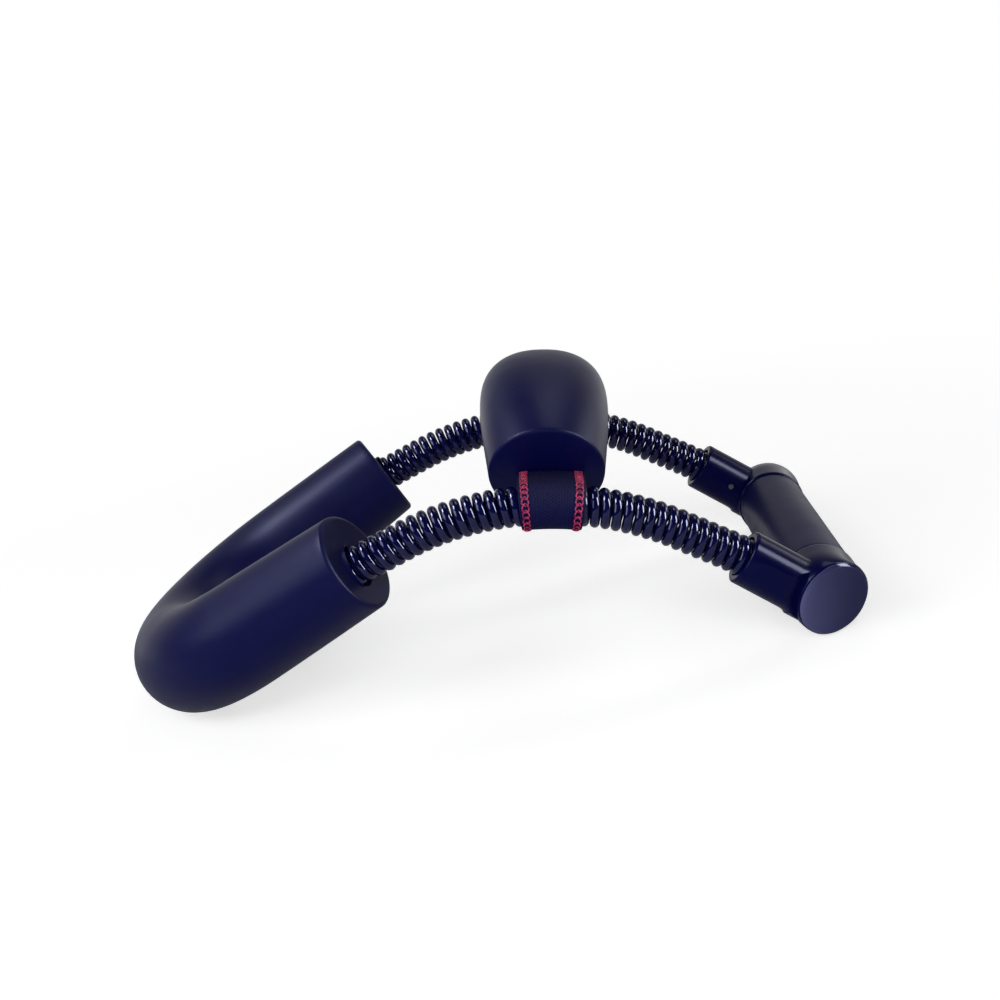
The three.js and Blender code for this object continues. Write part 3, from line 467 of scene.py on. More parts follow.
def strap_loop():
    """The webbing's middle line, across and height: the upper layer along the arch, a straight to
    the circle round the left spring, which it leaves where the straight to the lower layer
    touches it, and the same mirrored. The points are then spread evenly along the line."""
    centre = np.array([HALF_SPACING, 0.0])
    radius = SPRING_DIAMETER / 2 + STRAP_GAP + STRAP_THICKNESS / 2
    outwards = np.linspace(0, ARCH_HALF_ANGLE, STRAP_ARCH_STEPS)
    inwards = np.linspace(ARCH_HALF_ANGLE, 0, STRAP_ARCH_STEPS)
    top = arch_point(outwards, ARCH_RADIUS + STRAP_THICKNESS / 2)
    under = arch_point(inwards, ARCH_RADIUS - STRAP_THICKNESS / 2)
    touches = []
    for point, side in ((top[-1], -1), (under[0], 1)):
        apart = point - centre
        reach = math.acos(radius / np.linalg.norm(apart))
        touches.append(math.atan2(apart[1], apart[0]) + side * reach)
    first, last = touches
    turn = np.linspace(first, last - 2 * math.pi * (last > first), STRAP_DROP_STEPS)[:, None]
    drop = centre + radius * np.hstack([np.cos(turn), np.sin(turn)])
    half = np.vstack([top, drop, under])
    loop = np.vstack([half, half[-2::-1] * np.array([-1, 1])])
    run = np.concatenate([[0], np.cumsum(np.linalg.norm(np.diff(loop, axis=0), axis=1))])
    even = np.linspace(0, run[-1], round(run[-1] / STRAP_STEP) + 1)[:-1]
    line = np.stack([np.interp(even, run, loop[:, k]) for k in (0, 1)], -1)
    along = np.roll(line, -1, 0) - np.roll(line, 1, 0)
    along /= np.linalg.norm(along, axis=1)[:, None]
    outside = np.stack([-along[:, 1], along[:, 0]], -1)
    return line, outside, even, run[-1]


strap_line, strap_outside, strap_run, strap_length = strap_loop()
half_width, half_thick = STRAP_WIDTH / 2, STRAP_THICKNESS / 2
face_width = np.linspace(-1, 1, STRAP_FACE_STEPS) * (half_width - half_thick)
edge_turn = np.linspace(math.pi / 2, -math.pi / 2, STRAP_EDGE_STEPS + 2)[1:-1]
edge_width = half_width - half_thick + half_thick * np.cos(edge_turn)
edge_height = half_thick * np.sin(edge_turn)
section_width = np.concatenate([face_width, edge_width, face_width[::-1], -edge_width[::-1]])
section_height = np.concatenate([np.full(STRAP_FACE_STEPS, half_thick), edge_height,
                                 np.full(STRAP_FACE_STEPS, -half_thick), edge_height[::-1]])
strap_places = strap_line[:, None] + section_height[None, :, None] * strap_outside[:, None]
strap_grid = over_springs(section_width[None, :], strap_places[..., 0], strap_places[..., 1])
strap = skin("wrist_strap_webbing", strap_grid, ring=True)
weave = strap.data.attributes.new("weave", "FLOAT_VECTOR", "POINT")
run_grid, width_grid = np.meshgrid(strap_run, section_width, indexing="ij")
weave_places = np.stack([width_grid, run_grid, np.zeros_like(run_grid)], -1)
weave.data.foreach_set("vector", weave_places.ravel())

webbing, place, link = finish("woven_webbing", IOR=1.4, Specular_IOR_Level=0.2)
yarns = place.node("Attribute", result="Vector", attribute_name="weave")
across_yarns = yarns.node("SeparateXYZ", {0: yarns}, result=0) / YARN_ACROSS
along_yarns = yarns.node("SeparateXYZ", {0: yarns}, result=1) / YARN_ALONG
# Every other yarn is shifted by half a float, so that the floats are staggered.
shift = across_yarns.maths("MODULO", across_yarns.maths("FLOOR", across_yarns), 2.0) * 0.5
ridge = across_yarns.maths("ABSOLUTE", across_yarns.maths("SINE", across_yarns * math.pi))
staggered = along_yarns + shift
float_over = staggered.maths("SINE", staggered * (2 * math.pi)) * 0.5 + 0.5
weave_height = ridge * (0.35 + 0.65 * float_over)
fibres = cloud(yarns, size=0.0005)
# The colour follows the weave's height: painted shade in the grooves between the yarns and a paler
# painted top on each float, with random fibre tone.
link(Base_Color=between(weave_height * (0.7 + 0.3 * fibres), WEBBING_LOW, WEBBING_HIGH),
     Roughness=0.78 - 0.15 * weave_height,
     Normal=bump(weave_height + 0.15 * fibres, depth=0.00025))
strap.data.materials.append(webbing)
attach(strap, "wrist_pad")
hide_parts("wrist_strap")


def chain_stitches(runs):
    """Links of a chain along the strap's outer face. Each is a round thread along a drop: its
    length goes as minus the cosine of a turn, its width as the sine times a taper, and it rises
    from under the link before to lie over the next."""
    turn = np.linspace(0, 2 * math.pi, STITCH_STEPS, endpoint=False)
    run = runs[:, None] - STITCH_LENGTH / 2 * np.cos(turn)
    width = (STITCH_WIDTH - THREAD_DIAMETER) / 2 * np.sin(turn) * (1 + STITCH_TAPER * np.cos(turn))
    height = half_thick + THREAD_DIAMETER * (STITCH_LIFT - STITCH_SLOPE * np.cos(turn))
    line = np.stack(np.broadcast_arrays(width, run, height), -1)
    along = np.roll(line, -1, 1) - np.roll(line, 1, 1)
    along /= np.linalg.norm(along, axis=2)[..., None]
    up = np.array([0.0, 0.0, 1.0])
    side = np.cross(along, up)
    side /= np.linalg.norm(side, axis=2)[..., None]
    over = np.cross(side, along)
    around = np.linspace(0, 2 * math.pi, THREAD_SIDES, endpoint=False)[:, None]
    circle = over[:, :, None] * np.cos(around) + side[:, :, None] * np.sin(around)
    return line[:, :, None] + THREAD_DIAMETER / 2 * circle


def on_strap(places):
    """Points at a width, a run along the loop and a height over the webbing's middle."""
    wrapped = places[..., 1] % strap_length
    line = np.stack([np.interp(wrapped, strap_run, strap_line[:, k]) for k in (0, 1)], -1)
    outside = np.stack([np.interp(wrapped, strap_run, strap_outside[:, k]) for k in (0, 1)], -1)
    place = line + places[..., 2:] * outside
    return over_springs(places[..., 0], place[..., 0], place[..., 1])


thread, place, link = finish("red_thread", IOR=1.45)
fibres = cloud(place, size=0.0010, detail=1.0)
tufts = fibres.node("MapRange", {"Value": fibres, "From Min": THREAD_TUFTS[0],
                                 "From Max": THREAD_TUFTS[1]})
link(Base_Color=between(tufts, THREAD_LOW, THREAD_HIGH),
     Roughness=0.45 + 0.2 * fibres,
     Normal=bump(fibres, depth=0.00008))
for side, sign in SIDES.items():
    in_drop = strap_run[sign * strap_line[:, 0] > ARCH_HALF_SPAN - STITCH_INSIDE_ARCH]
    runs = np.arange(in_drop.min(), in_drop.max(), STITCH_PITCH)
    links = chain_stitches(runs)
    columns = [links + np.array([edge * STITCH_COLUMN, 0, 0]) for edge in (-1, 1)]
    chains = np.concatenate([on_strap(column) for column in columns])
    stitching = [skin(f"link_{k}", chain, ring=True) for k, chain in enumerate(chains)]
    with bpy.context.temp_override(active_object=stitching[0], selected_editable_objects=stitching):
        bpy.ops.object.join()
    stitching[0].name = f"strap_stitching_{side}"
    stitching[0].data.materials.append(thread)
    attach(stitching[0], "wrist_pad")

# Arched pad
# A thicker closed-cell foam tube bowed over the wrist and swollen towards its middle, cut square
# at both ends. A flat slot runs through it from end to end for the strap.
ARCH_PAD_RADIUS = 0.0231
ARCH_AHEAD = 0.0041
ARCH_SWELL = 0.18
ARCH_SINK = 0.03
ARCH_BOXINESS = 0.17
ARCH_EDGE = 0.0010
ARCH_COLUMNS = 160
ARCH_WALL_ROWS = 44
ARCH_WALL_SHARE = 0.97
ARCH_FACE_SHARES = np.array([0.03, 0.15, 0.35, 0.6, 0.85, 0.97])[:, None]
SLOT_SPARE = 0.0006
SLOT_POWER = 0.22
SLOT_MOUTH_WIDTH_SHARE = 1.02
SLOT_MOUTH_RISE_SHARE = 1.1
SLOT_LIP = 0.0003
SLOT_FIRST_SHARE = 0.98
SLOT_ROWS = 30
ARCH_TILT = TIP + ARCH_AHEAD / BEND_RADIUS
ARCH_FORWARD = np.array([math.cos(ARCH_TILT), 0, -math.sin(ARCH_TILT)])
ARCH_UP = np.array([math.sin(ARCH_TILT), 0, math.cos(ARCH_TILT)])


def arch_pad_grid():
    """Half of the pad from its middle to the left end, over the edge, across the end face to the
    slot and back through it, and then the same half mirrored, in reverse. All rings are
    superellipses square to the arch, whose half widths are multiplied by powers of the cosine
    and the sine. The wall's go from round at the ends to boxier, wider and lower in the middle,
    with the cosine of the angle's share of the half angle, and the slot's are nearly square. The
    slot also sags by the width squared over twice the bend's radius, as the springs do."""
    inward, edge_radius = rounded_edge(ARCH_PAD_RADIUS, ARCH_EDGE)
    full = np.concatenate([np.linspace(0, ARCH_HALF_ANGLE * ARCH_WALL_SHARE, ARCH_WALL_ROWS),
                           ARCH_HALF_ANGLE - inward / ARCH_RADIUS])
    drawn = np.concatenate([np.zeros(ARCH_WALL_ROWS), ARCH_PAD_RADIUS - edge_radius])
    middle = np.cos(full / ARCH_HALF_ANGLE * math.pi / 2)
    turn = np.linspace(0, 2 * math.pi, ARCH_COLUMNS, endpoint=False)

    def boxed(wave, power):
        return np.sign(wave) * np.abs(wave) ** power

    power = (1 - ARCH_BOXINESS * middle)[:, None]
    half_widths = ARCH_PAD_RADIUS * (1 + ARCH_SWELL * middle) - drawn
    half_rises = ARCH_PAD_RADIUS * (1 - ARCH_SINK * middle) - drawn
    outer_width = half_widths[:, None] * boxed(np.cos(turn), power)
    outer_rise = half_rises[:, None] * boxed(np.sin(turn), power)
    slot_half_width = STRAP_WIDTH / 2 + SLOT_SPARE
    slot_width = STRAP_AHEAD - ARCH_AHEAD + slot_half_width * boxed(np.cos(turn), SLOT_POWER)
    slot_rise = (STRAP_THICKNESS + SLOT_SPARE) * boxed(np.sin(turn), SLOT_POWER)
    mouth_width = slot_width * SLOT_MOUTH_WIDTH_SHARE
    mouth_rise = slot_rise * SLOT_MOUTH_RISE_SHARE
    face_angle = np.full(len(ARCH_FACE_SHARES), ARCH_HALF_ANGLE)
    face_width = outer_width[-1] + ARCH_FACE_SHARES * (mouth_width - outer_width[-1])
    face_rise = outer_rise[-1] + ARCH_FACE_SHARES * (mouth_rise - outer_rise[-1])
    through = np.concatenate([[ARCH_HALF_ANGLE - SLOT_LIP / ARCH_RADIUS],
                              np.linspace(ARCH_HALF_ANGLE * SLOT_FIRST_SHARE, 0, SLOT_ROWS)])
    slot_shape = (len(through), ARCH_COLUMNS)
    angle = np.concatenate([full, face_angle, through])[:, None]
    width = np.concatenate([outer_width, face_width, np.broadcast_to(slot_width, slot_shape)])
    rise = np.concatenate([outer_rise, face_rise, np.broadcast_to(slot_rise, slot_shape)])
    arch = arch_point(angle, ARCH_RADIUS + rise)
    in_slot = np.arange(len(angle)) >= len(angle) - len(through)
    sag = width**2 / (2 * BEND_RADIUS) * in_slot[:, None]
    height = (BEND_RADIUS + arch[..., 1] - sag)[..., None]
    half = BEND_CENTRE + width[..., None] * ARCH_FORWARD + height * ARCH_UP + arch[..., :1] * ACROSS
    return np.concatenate([half, half[-2:0:-1] * np.array([1, -1, 1])])


arch_pad = skin("arch_pad_foam", arch_pad_grid(), ring=True, sharp=FOAM_CREASE)
arch_pad.data.materials.append(foam)
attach(arch_pad, "wrist_pad")
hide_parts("arch_pad")

# Elbows
# Glossy black mouldings that join each spring to the handle: a sleeve over the spring's end, a
# barrel on the handle's axis, and a round port that looks outwards and forwards for the end cap.
SLEEVE_RADIUS = 0.0111
SLEEVE_BORE = 0.0086
SLEEVE_LENGTH = 0.0368
SLEEVE_LIP = 0.0010
SLEEVE_LIP_INNER_ROW = 0.0002
SLEEVE_LIP_OUTER_ROW = 0.0004
SLEEVE_NECK = 0.0215
SLEEVE_FLARE = 0.0010
SLEEVE_FLARE_LENGTH = 0.004
PLUG_SEAT = 0.0193
PLUG_TAIL_SEAT = 0.0247
PLUG_TAIL_RADIUS = 0.0048
PIN_BEFORE_SEAT = 0.0028
PIN_HOLE_RADIUS = 0.00155
PIN_COLUMNS = 48
BARREL_LIFT = 0.0028
BARREL_RADIUS = 0.0156
BARREL_INNER_END = 0.057
BARREL_FIRST_ROW = 0.002
BARREL_CORNER = 0.0012
BARREL_STRAIGHT = 0.066
SOCKET_RADIUS = 0.0113
SOCKET_FLOOR = 0.062
AXLE_HOLE_RADIUS = 0.0043
POCKET_FLOOR = 0.0665
POCKET_RADIUS = 0.0095
PORT_TILT = math.radians(25.4)
PORT_RADIUS = 0.0158
PORT_BORE = 0.0118
PORT_BORE_DEPTH = 0.0045
PORT_RIM = 0.003
PORT_RIM_ROW = 0.0010
PORT_RIM_ROUNDING = 0.0005
PORT_REACH = 0.0066
CAP_THICKNESS = 0.0018
CAP_SEAT_GAP = 0.0003
OVERRUN = 0.02
HUB_RADIUS = 0.002
ROUND_COLUMNS = 160
DRILL_COLUMNS = 96
CORNER_STEPS = 7
RIM_STEPS = 5
FLARE_STEPS = 12
BARREL_BEND_ROWS = 14
MOULDED_CREASE = 30
sleeve_end, sleeve_forward, sleeve_outward = spring_line(SLEEVE_MOUTH + SLEEVE_LENGTH)
_, handle_forward, handle_outward = spring_line(BEND_LENGTH)
handle_centre = sleeve_end + BARREL_LIFT * sleeve_outward
elbow_joint = handle_centre - HALF_SPACING * ACROSS
PORT_AXIS = math.sin(PORT_TILT) * handle_forward - math.cos(PORT_TILT) * ACROSS
port_face = elbow_joint + (PORT_REACH - CAP_THICKNESS - CAP_SEAT_GAP) * PORT_AXIS
MOULDING_LOW = colour(5, 7, 58)
MOULDING_HIGH = colour(8, 10, 64)


def turned(name, profile, origin, axis, near, columns=ROUND_COLUMNS):
    """A solid of revolution from pairs of radius and height along an axis, from pole to pole. Fans
    close its two ends, so the first and last radius are small but not zero."""
    radius, height = np.array(profile).T
    centre = origin + height[:, None] * axis
    grid = rings(centre, np.broadcast_to(axis, centre.shape), np.broadcast_to(near, centre.shape),
                 radius, columns)
    return skin(name, grid, sharp=MOULDED_CREASE)


def carve(base, operation, *tools):
    """Joins tools to a piece or cuts them from it, one after the other, and removes them."""
    for tool in tools:
        cut = base.modifiers.new("carve", "BOOLEAN")
        cut.object = tool
        cut.operation = operation
        cut.solver = "MANIFOLD"
        bpy.context.view_layer.objects.active = base
        bpy.ops.object.modifier_apply(modifier=cut.name)
        bpy.data.objects.remove(tool)
    return base


def drill(radius, start, end, origin, axis, near=handle_outward, columns=DRILL_COLUMNS):
    """A cylinder from one height to another along an axis, for a hole."""
    profile = [(radius / 4, start), (radius, start), (radius, end), (radius / 4, end)]
    return turned("drill", profile, origin, axis, near, columns)


def sleeve_solid(origin):
    """The right-hand sleeve, a solid of revolution with a quarter-round lip and, before the
    barrel, a flare that is a quarter of an ellipse. What would reach into the port is cut off."""
    quarter = np.linspace(0, math.pi / 2, CORNER_STEPS)
    lip_radius = SLEEVE_RADIUS - SLEEVE_LIP
    profile = [(HUB_RADIUS, 0), (SLEEVE_BORE, 0), (lip_radius - SLEEVE_LIP_INNER_ROW, 0)]
    profile += [(lip_radius + SLEEVE_LIP * math.sin(a), SLEEVE_LIP - SLEEVE_LIP * math.cos(a))
                for a in quarter]
    profile += [(SLEEVE_RADIUS, SLEEVE_LIP + SLEEVE_LIP_OUTER_ROW)]
    profile += [(SLEEVE_RADIUS + SLEEVE_FLARE * (1 - math.sqrt(1 - t * t)),
                 SLEEVE_NECK + SLEEVE_FLARE_LENGTH * t) for t in np.linspace(0, 1, FLARE_STEPS)]
    profile += [(SLEEVE_RADIUS + SLEEVE_FLARE, SLEEVE_LENGTH), (HUB_RADIUS, SLEEVE_LENGTH)]
    sleeve = turned("elbow_right_moulding", profile, origin, sleeve_forward, sleeve_outward)
    wide = BARREL_RADIUS * 2
    port_cut = turned("port_cut", [(HUB_RADIUS, -PORT_RIM), (wide, -PORT_RIM), (wide, OVERRUN),
                                   (HUB_RADIUS, OVERRUN)], port_face, PORT_AXIS, handle_outward)
    return carve(sleeve, "DIFFERENCE", port_cut)


def barrel_solid():
    """The right-hand barrel and port: rings from the rounded inner end along the handle, then
    round a quadratic curve to the port's axis and out to the port's rounded rim."""
    quarter = np.linspace(0, math.pi / 2, CORNER_STEPS)
    inner_end = BARREL_INNER_END + BARREL_CORNER - BARREL_CORNER * np.cos(quarter)
    inner_radius = BARREL_RADIUS - BARREL_CORNER + BARREL_CORNER * np.sin(quarter)
    straight_at = np.append(inner_end, [BARREL_INNER_END + BARREL_FIRST_ROW, BARREL_STRAIGHT])
    straight_radius = np.append(inner_radius, [BARREL_RADIUS, BARREL_RADIUS])
    straight_centre = handle_centre - straight_at[:, None] * ACROSS
    t = np.linspace(0, 1, BARREL_BEND_ROWS)[1:, None]
    bend_start = handle_centre - BARREL_STRAIGHT * ACROSS
    bend_end = port_face - PORT_RIM * PORT_AXIS
    bend_centre = (1 - t) ** 2 * bend_start + 2 * t * (1 - t) * elbow_joint + t**2 * bend_end
    tilt = PORT_TILT * (3 * t**2 - 2 * t**3)
    bend_along = np.sin(tilt) * handle_forward - np.cos(tilt) * ACROSS
    bend_radius = BARREL_RADIUS + (PORT_RADIUS - BARREL_RADIUS) * t[:, 0]
    rim_turn = np.linspace(0, math.pi / 2, RIM_STEPS)
    rounding = PORT_RIM_ROUNDING
    rim_depth = np.append(PORT_RIM - PORT_RIM_ROW, rounding - rounding * np.sin(rim_turn))
    rim_centre = port_face - rim_depth[:, None] * PORT_AXIS
    rim_radius = np.append(PORT_RADIUS, PORT_RADIUS - rounding + rounding * np.cos(rim_turn))
    centre = np.vstack([straight_centre, bend_centre, rim_centre])
    along = np.vstack([np.broadcast_to(-ACROSS, straight_centre.shape), bend_along,
                       np.broadcast_to(PORT_AXIS, rim_centre.shape)])
    radius = np.concatenate([straight_radius, bend_radius, rim_radius])
    near = np.broadcast_to(handle_outward, centre.shape)
    return skin("barrel", rings(centre, along, near, radius, ROUND_COLUMNS), sharp=MOULDED_CREASE)


def elbow_solid():
    """The right-hand elbow: the sleeve and the barrel joined, less the spring's bore, the plug's
    seat, the tube's socket, the axle's hole, the nut's pocket, the cap's seat and the pin's
    hole."""
    sleeve_origin = sleeve_end - HALF_SPACING * ACROSS - SLEEVE_LENGTH * sleeve_forward
    pin_origin, _, pin_outward = spring_line(SLEEVE_MOUTH + PLUG_SEAT - PIN_BEFORE_SEAT)
    pin_origin = pin_origin - HALF_SPACING * ACROSS
    elbow = carve(sleeve_solid(sleeve_origin), "UNION", barrel_solid())
    return carve(elbow, "DIFFERENCE",
                 drill(SLEEVE_BORE, -OVERRUN, PLUG_SEAT, sleeve_origin, sleeve_forward),
                 drill(PLUG_TAIL_RADIUS, 0, PLUG_TAIL_SEAT, sleeve_origin, sleeve_forward),
                 drill(SOCKET_RADIUS, 0, SOCKET_FLOOR, handle_centre, -ACROSS),
                 drill(AXLE_HOLE_RADIUS, 0, POCKET_FLOOR + OVERRUN, handle_centre, -ACROSS),
                 drill(POCKET_RADIUS, POCKET_FLOOR, POCKET_FLOOR + OVERRUN, handle_centre, -ACROSS),
                 drill(PORT_BORE, -PORT_BORE_DEPTH, OVERRUN, port_face, PORT_AXIS),
                 drill(PIN_HOLE_RADIUS, 0, OVERRUN, pin_origin, ACROSS, pin_outward, PIN_COLUMNS))


def mirror_copy(piece, name):
    """The same piece on the other side of the middle plane, its faces turned back outwards."""
    mesh = piece.data.copy()
    mesh.transform(np.diag([1.0, -1.0, 1.0, 1.0]).tolist())
    mesh.flip_normals()
    other = bpy.data.objects.new(name, mesh)
    bpy.context.scene.collection.objects.link(other)
    return other


moulding, place, link = finish("gloss_moulding", IOR=1.45, Specular_IOR_Level=0.17,
                               Specular_Tint=BLUE_SHEEN)
swirl = cloud(place, size=0.018)
fine = cloud(place, size=0.0016, detail=2.0)
link(Base_Color=between(swirl, MOULDING_LOW, MOULDING_HIGH),
     Roughness=0.16 + 0.09 * swirl,
     Normal=bump(fine, depth=0.00001))
elbow_right = elbow_solid()
elbow_right.data.set_sharp_from_angle(angle=math.radians(MOULDED_CREASE))
elbow_left = mirror_copy(elbow_right, "elbow_left_moulding")
for side, elbow in (("right", elbow_right), ("left", elbow_left)):
    elbow.data.materials.clear()
    elbow.data.materials.append(moulding)
    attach(elbow, "handle")
    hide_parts(f"elbow_{side}")

# End caps
# Satin plastic discs pressed into the ports: a slightly crowned face, a smoother bevelled rim and
# a thin ring behind that grips the port's bore. The face's colour is painted paler towards the back,
# a painted sheen.
CAP_RADIUS = 0.0156
CAP_BEVEL = 0.0008
CAP_CHAMFER = 0.0002
CAP_CROWN = 0.0005
CAP_CROWN_STEP = 0.00005
CAP_HUB_RADIUS = 0.001
CAP_RING_WALL = 0.0015
CAP_RING_LENGTH = 0.004
CAP_RIM_ROWS = slice(5, 9)
CAP_FACE_SHARES = np.linspace(1, 0.04, 14)
CAP_LOW = colour(12, 14, 68)
CAP_HIGH = colour(90, 91, 138)
CAP_DARK_AHEAD = 0.019
CAP_PALE_BEHIND = 0.012
cap_satin, place, link = finish("satin_cap", IOR=1.45, Specular_IOR_Level=0.45,
                                Specular_Tint=BLUE_SHEEN)
# Painted sheen: the face's colour is paler towards the back and darker ahead, as light falls on it,
# with a little random mottle.
painted_sheen = place.node("MapRange", {"Value": place.node("SeparateXYZ", {0: place}, result=0),
                               "From Min": handle_centre[0] + CAP_DARK_AHEAD,
                               "From Max": handle_centre[0] - CAP_PALE_BEHIND})
sheen_and_mottle = 0.85 * painted_sheen.maths("POWER", painted_sheen, 2.0) + 0.15 * cloud(place, size=0.010)
grain = cloud(place, size=0.0009)
rim = place.node("Attribute", result="Fac", attribute_name="rim")
link(Base_Color=between(sheen_and_mottle, CAP_LOW, CAP_HIGH),
     Roughness=0.40 - 0.28 * rim,
     Normal=bump(grain, depth=0.00001))


def cap_profile():
    """Radius and height from the middle of the ring's hollow, round the ring, over the rim with a
    small chamfer behind and a flat bevel in front, to the middle of the face, whose height falls
    as the radius squared."""
    ring = PORT_BORE - CAP_SEAT_GAP
    inside = ring - CAP_RING_WALL
    brink = CAP_THICKNESS - CAP_CROWN - CAP_CROWN_STEP
    face = CAP_FACE_SHARES * (CAP_RADIUS - CAP_BEVEL - CAP_CHAMFER)
    back = [(CAP_HUB_RADIUS, 0), (inside, 0), (inside, -CAP_RING_LENGTH),
            (ring, -CAP_RING_LENGTH), (ring, 0)]
    edge = [(CAP_RADIUS - CAP_CHAMFER, 0), (CAP_RADIUS, CAP_CHAMFER),
            (CAP_RADIUS, brink - CAP_BEVEL), (CAP_RADIUS - CAP_BEVEL, brink)]
    crown = [(r, CAP_THICKNESS - CAP_CROWN * (r / CAP_RADIUS) ** 2) for r in face]
    return back + edge + crown


cap_right = turned("end_cap_right_disc", cap_profile(), port_face + CAP_SEAT_GAP * PORT_AXIS,
                   PORT_AXIS, handle_outward)
polish = cap_right.data.attributes.new("rim", "FLOAT", "POINT")
on_rim = np.zeros(len(cap_right.data.vertices))
on_rim[CAP_RIM_ROWS.start * ROUND_COLUMNS:CAP_RIM_ROWS.stop * ROUND_COLUMNS] = 1
polish.data.foreach_set("value", on_rim)
cap_left = mirror_copy(cap_right, "end_cap_left_disc")
for side, cap in (("right", cap_right), ("left", cap_left)):
    cap.data.materials.append(cap_satin)
    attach(cap, "handle")
    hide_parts(f"end_cap_{side}")

# Hand grip
# A closed-cell foam sleeve with rounded ends. It is pushed onto the steel tube between the two
# elbows and holds by its own grip.
GRIP_RADIUS = 0.015
GRIP_HALF = 0.0567
GRIP_BORE = 0.0113
GRIP_EDGE = 0.002
GRIP_LIP = 0.0004
GRIP_LAST_ROW = 0.003
GRIP_BORE_ROW = 0.002
GRIP_WALL_ROWS = 30
GRIP_BORE_ROWS = 12
GRIP_COLUMNS = 96


def grip_grid():
    """A ring of rows: the wall from the middle to one end, over its rounded edge to the bore, back
    along the bore, and the same half mirrored, in reverse."""
    inward, edge_radius = rounded_edge(GRIP_RADIUS, GRIP_EDGE, steps=9)
    at = np.concatenate([np.linspace(0, GRIP_HALF - GRIP_LAST_ROW, GRIP_WALL_ROWS),
                         GRIP_HALF - inward, [GRIP_HALF, GRIP_HALF - GRIP_LIP],
                         np.linspace(GRIP_HALF - GRIP_BORE_ROW, 0, GRIP_BORE_ROWS)])
    radius = np.concatenate([np.full(GRIP_WALL_ROWS, GRIP_RADIUS), edge_radius,
                             [GRIP_BORE + GRIP_LIP], np.full(GRIP_BORE_ROWS + 1, GRIP_BORE)])
    centre = handle_centre - at[:, None] * ACROSS
    half = rings(centre, np.broadcast_to(ACROSS, centre.shape),
                 np.broadcast_to(handle_outward, centre.shape), radius, GRIP_COLUMNS)
    return np.concatenate([half, half[-2:0:-1] * np.array([1, -1, 1])])


hand_grip = skin("hand_grip_foam", grip_grid(), ring=True, sharp=FOAM_CREASE)
hand_grip.data.materials.append(foam)
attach(hand_grip, "handle")
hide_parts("hand_grip")

# Steel pieces
# The bent rod with its collars and cross pins, the plugs and their pins, and the handle's axle,
# tube, washers and nuts are plain zinc-plated steel, mostly out of sight.
STEEL_LOW = colour(150, 152, 158)
STEEL_HIGH = colour(190, 192, 196)
STEEL_STRETCH = (1.0, 0.08, 1.0)
steel, place, link = finish("plated_steel", Metallic=1.0)
stretched = place.node("Mapping", {"Vector": place, "Scale": STEEL_STRETCH})
lines = cloud(stretched, size=0.0006)
tarnish = cloud(place, size=0.007)
link(Base_Color=between(tarnish, STEEL_LOW, STEEL_HIGH),
     Roughness=0.28 + 0.15 * lines,
     Normal=bump(lines, depth=0.00001))
for name, node in frame["nodes"].items():
    if not node.hide_render:
        node.data.materials.clear()
        node.data.materials.append(steel)

# Floor, light and camera
# A pale floor that turns plain white to the camera some way off, and a surround that is white to
# it. The left window and three weak lamps behind light and are reflected, the front window and
# the broad fill only light, and the strip at the right and the high lamp are only reflected.
FLOOR_RADIUS = 12.0
FLOOR_CORNERS = 96
FLOOR_DROP = 0.0002
FLOOR_LEVEL = 0.65
FLOOR_LIFT = 0.66
FLOOR_FADE = (0.24, 0.60)
BACKDROP_START = (0.05, 0.25)
SURROUND_DIM = 0.02
SURROUND_BACK = 0.75
SURROUND_START = (0.1, 0.8)
CAMERA_PLACE = (0.05831, -0.63399, 0.23057)
CAMERA_TURN = (74.676, 11.939, 0.506)
CAMERA_LENS = 54.0
CAMERA_SENSOR = 36.0
CAMERA_NEAR = 0.01
LIGHTS_AIM = (0, 0, 0.05)
# Each lamp's place, size and power, whether it shows in reflections, and whether it lights.
LIGHTS = {
    "left_window": ((-1.10, -0.64, 0.84), (1.00, 0.90), 8.8, True, True),
    "front_window": ((-0.04, -1.27, 0.84), (1.00, 0.30), 4.2, False, True),
    "right_strip": ((1.34, -0.44, 0.56), (0.42, 1.10), 27.0, True, False),
    "left_high": ((-0.81, -0.07, 1.31), (0.50, 0.50), 15.0, True, False),
    "right_back": ((1.32, 0.53, 0.51), (0.60, 0.50), 3.0, True, True),
    "back_left": ((-0.87, 0.61, 1.11), (0.60, 0.50), 1.0, True, True),
    "back_right": ((0.43, 0.75, 1.28), (0.60, 0.50), 1.5, True, True),
    "fill": ((0.10, -1.60, 0.70), (1.40, 1.40), 9.0, False, True),
}


def smooth_step(value, limits):
    """A value that eases from 0 to 1 between two limits."""
    return value.node("MapRange", {"Value": value, "From Min": limits[0], "From Max": limits[1]},
                      interpolation_type="SMOOTHSTEP")


bpy.ops.mesh.primitive_circle_add(vertices=FLOOR_CORNERS, radius=FLOOR_RADIUS, fill_type="NGON",
                                  location=(0, 0, -FLOOR_DROP))
floor = bpy.context.object
floor.name = "floor"
floor_paint = bpy.data.materials.new("pale_floor")
floor_paint.use_nodes = True
nodes = floor_paint.node_tree.nodes
nodes.remove(nodes["Principled BSDF"])
start = Socket(floor_paint.node_tree)
white = (1, 1, 1, 1)
place = start.node("TexCoord", result="Object")
away = start.node("VectorMath", {0: place}, result="Value", operation="LENGTH")
fade = smooth_step(away, FLOOR_FADE)
behind = smooth_step(start.node("SeparateXYZ", {0: place}, result=1), BACKDROP_START)
camera_ray = start.node("LightPath", result="Is Camera Ray")
glossy_ray = start.node("LightPath", result="Is Glossy Ray")
diffuse = start.node("BsdfDiffuse", {"Color": (FLOOR_LEVEL, FLOOR_LEVEL, FLOOR_LEVEL, 1)})
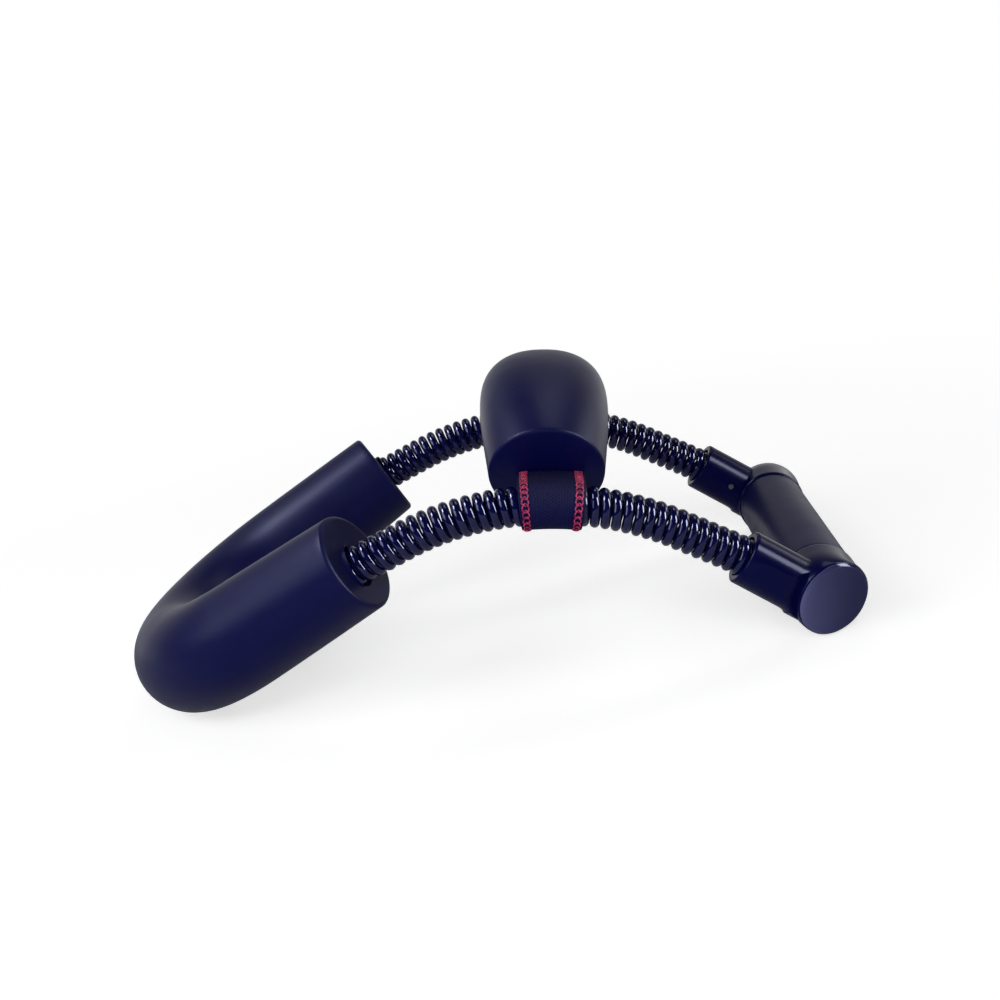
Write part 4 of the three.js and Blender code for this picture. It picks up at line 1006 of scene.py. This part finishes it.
lift = start.node("Emission", {"Color": white, "Strength": camera_ray * FLOOR_LIFT})
lit = start.node("AddShader", {0: diffuse, 1: lift})
plain = start.node("Emission", {"Color": white, "Strength": 1.0})
whitened = (camera_ray + glossy_ray * behind) * fade
surface = start.node("MixShader", {0: whitened, 1: lit, 2: plain})
floor_paint.node_tree.links.new(surface.output, nodes["Material Output"].inputs["Surface"])
floor.data.materials.append(floor_paint)

world = bpy.data.worlds.new("surround")
bpy.context.scene.world = world
world.use_nodes = True
start = Socket(world.node_tree)
direction = start.node("TexCoord", result="Generated")
depth = start.node("SeparateXYZ", {0: direction}, result=1)
height = start.node("SeparateXYZ", {0: direction}, result=2)
behind = smooth_step(depth, SURROUND_START)
low = start.maths("POWER", 1 - height, 2.0)
around = SURROUND_DIM + SURROUND_BACK * behind * low
camera_ray = start.node("LightPath", result="Is Camera Ray")
background = world.node_tree.nodes["Background"]
background.inputs["Color"].default_value = white
strength = camera_ray + (1 - camera_ray) * around
world.node_tree.links.new(strength.output, background.inputs["Strength"])

for name, (position, size, power, reflected, lighting) in LIGHTS.items():
    light = bpy.data.lights.new(name, "AREA")
    light.shape = "RECTANGLE"
    light.size, light.size_y = size
    light.energy = power
    lamp = bpy.data.objects.new(name, light)
    bpy.context.scene.collection.objects.link(lamp)
    lamp.location = position
    aim = np.array(LIGHTS_AIM) - np.array(position)
    lamp.rotation_euler = (math.atan2(math.hypot(aim[0], aim[1]), -aim[2]), 0,
                           math.atan2(-aim[0], aim[1]))
    lamp.visible_glossy = reflected
    lamp.visible_diffuse = lighting
    lamp.visible_camera = False

camera_data = bpy.data.cameras.new("camera")
camera_data.lens = CAMERA_LENS
camera_data.sensor_width = CAMERA_SENSOR
camera_data.clip_start = CAMERA_NEAR
camera = bpy.data.objects.new("camera", camera_data)
bpy.context.scene.collection.objects.link(camera)
camera.location = CAMERA_PLACE
camera.rotation_euler = [math.radians(angle) for angle in CAMERA_TURN]
bpy.context.scene.camera = camera
bpy.context.scene.view_settings.view_transform = "Standard"
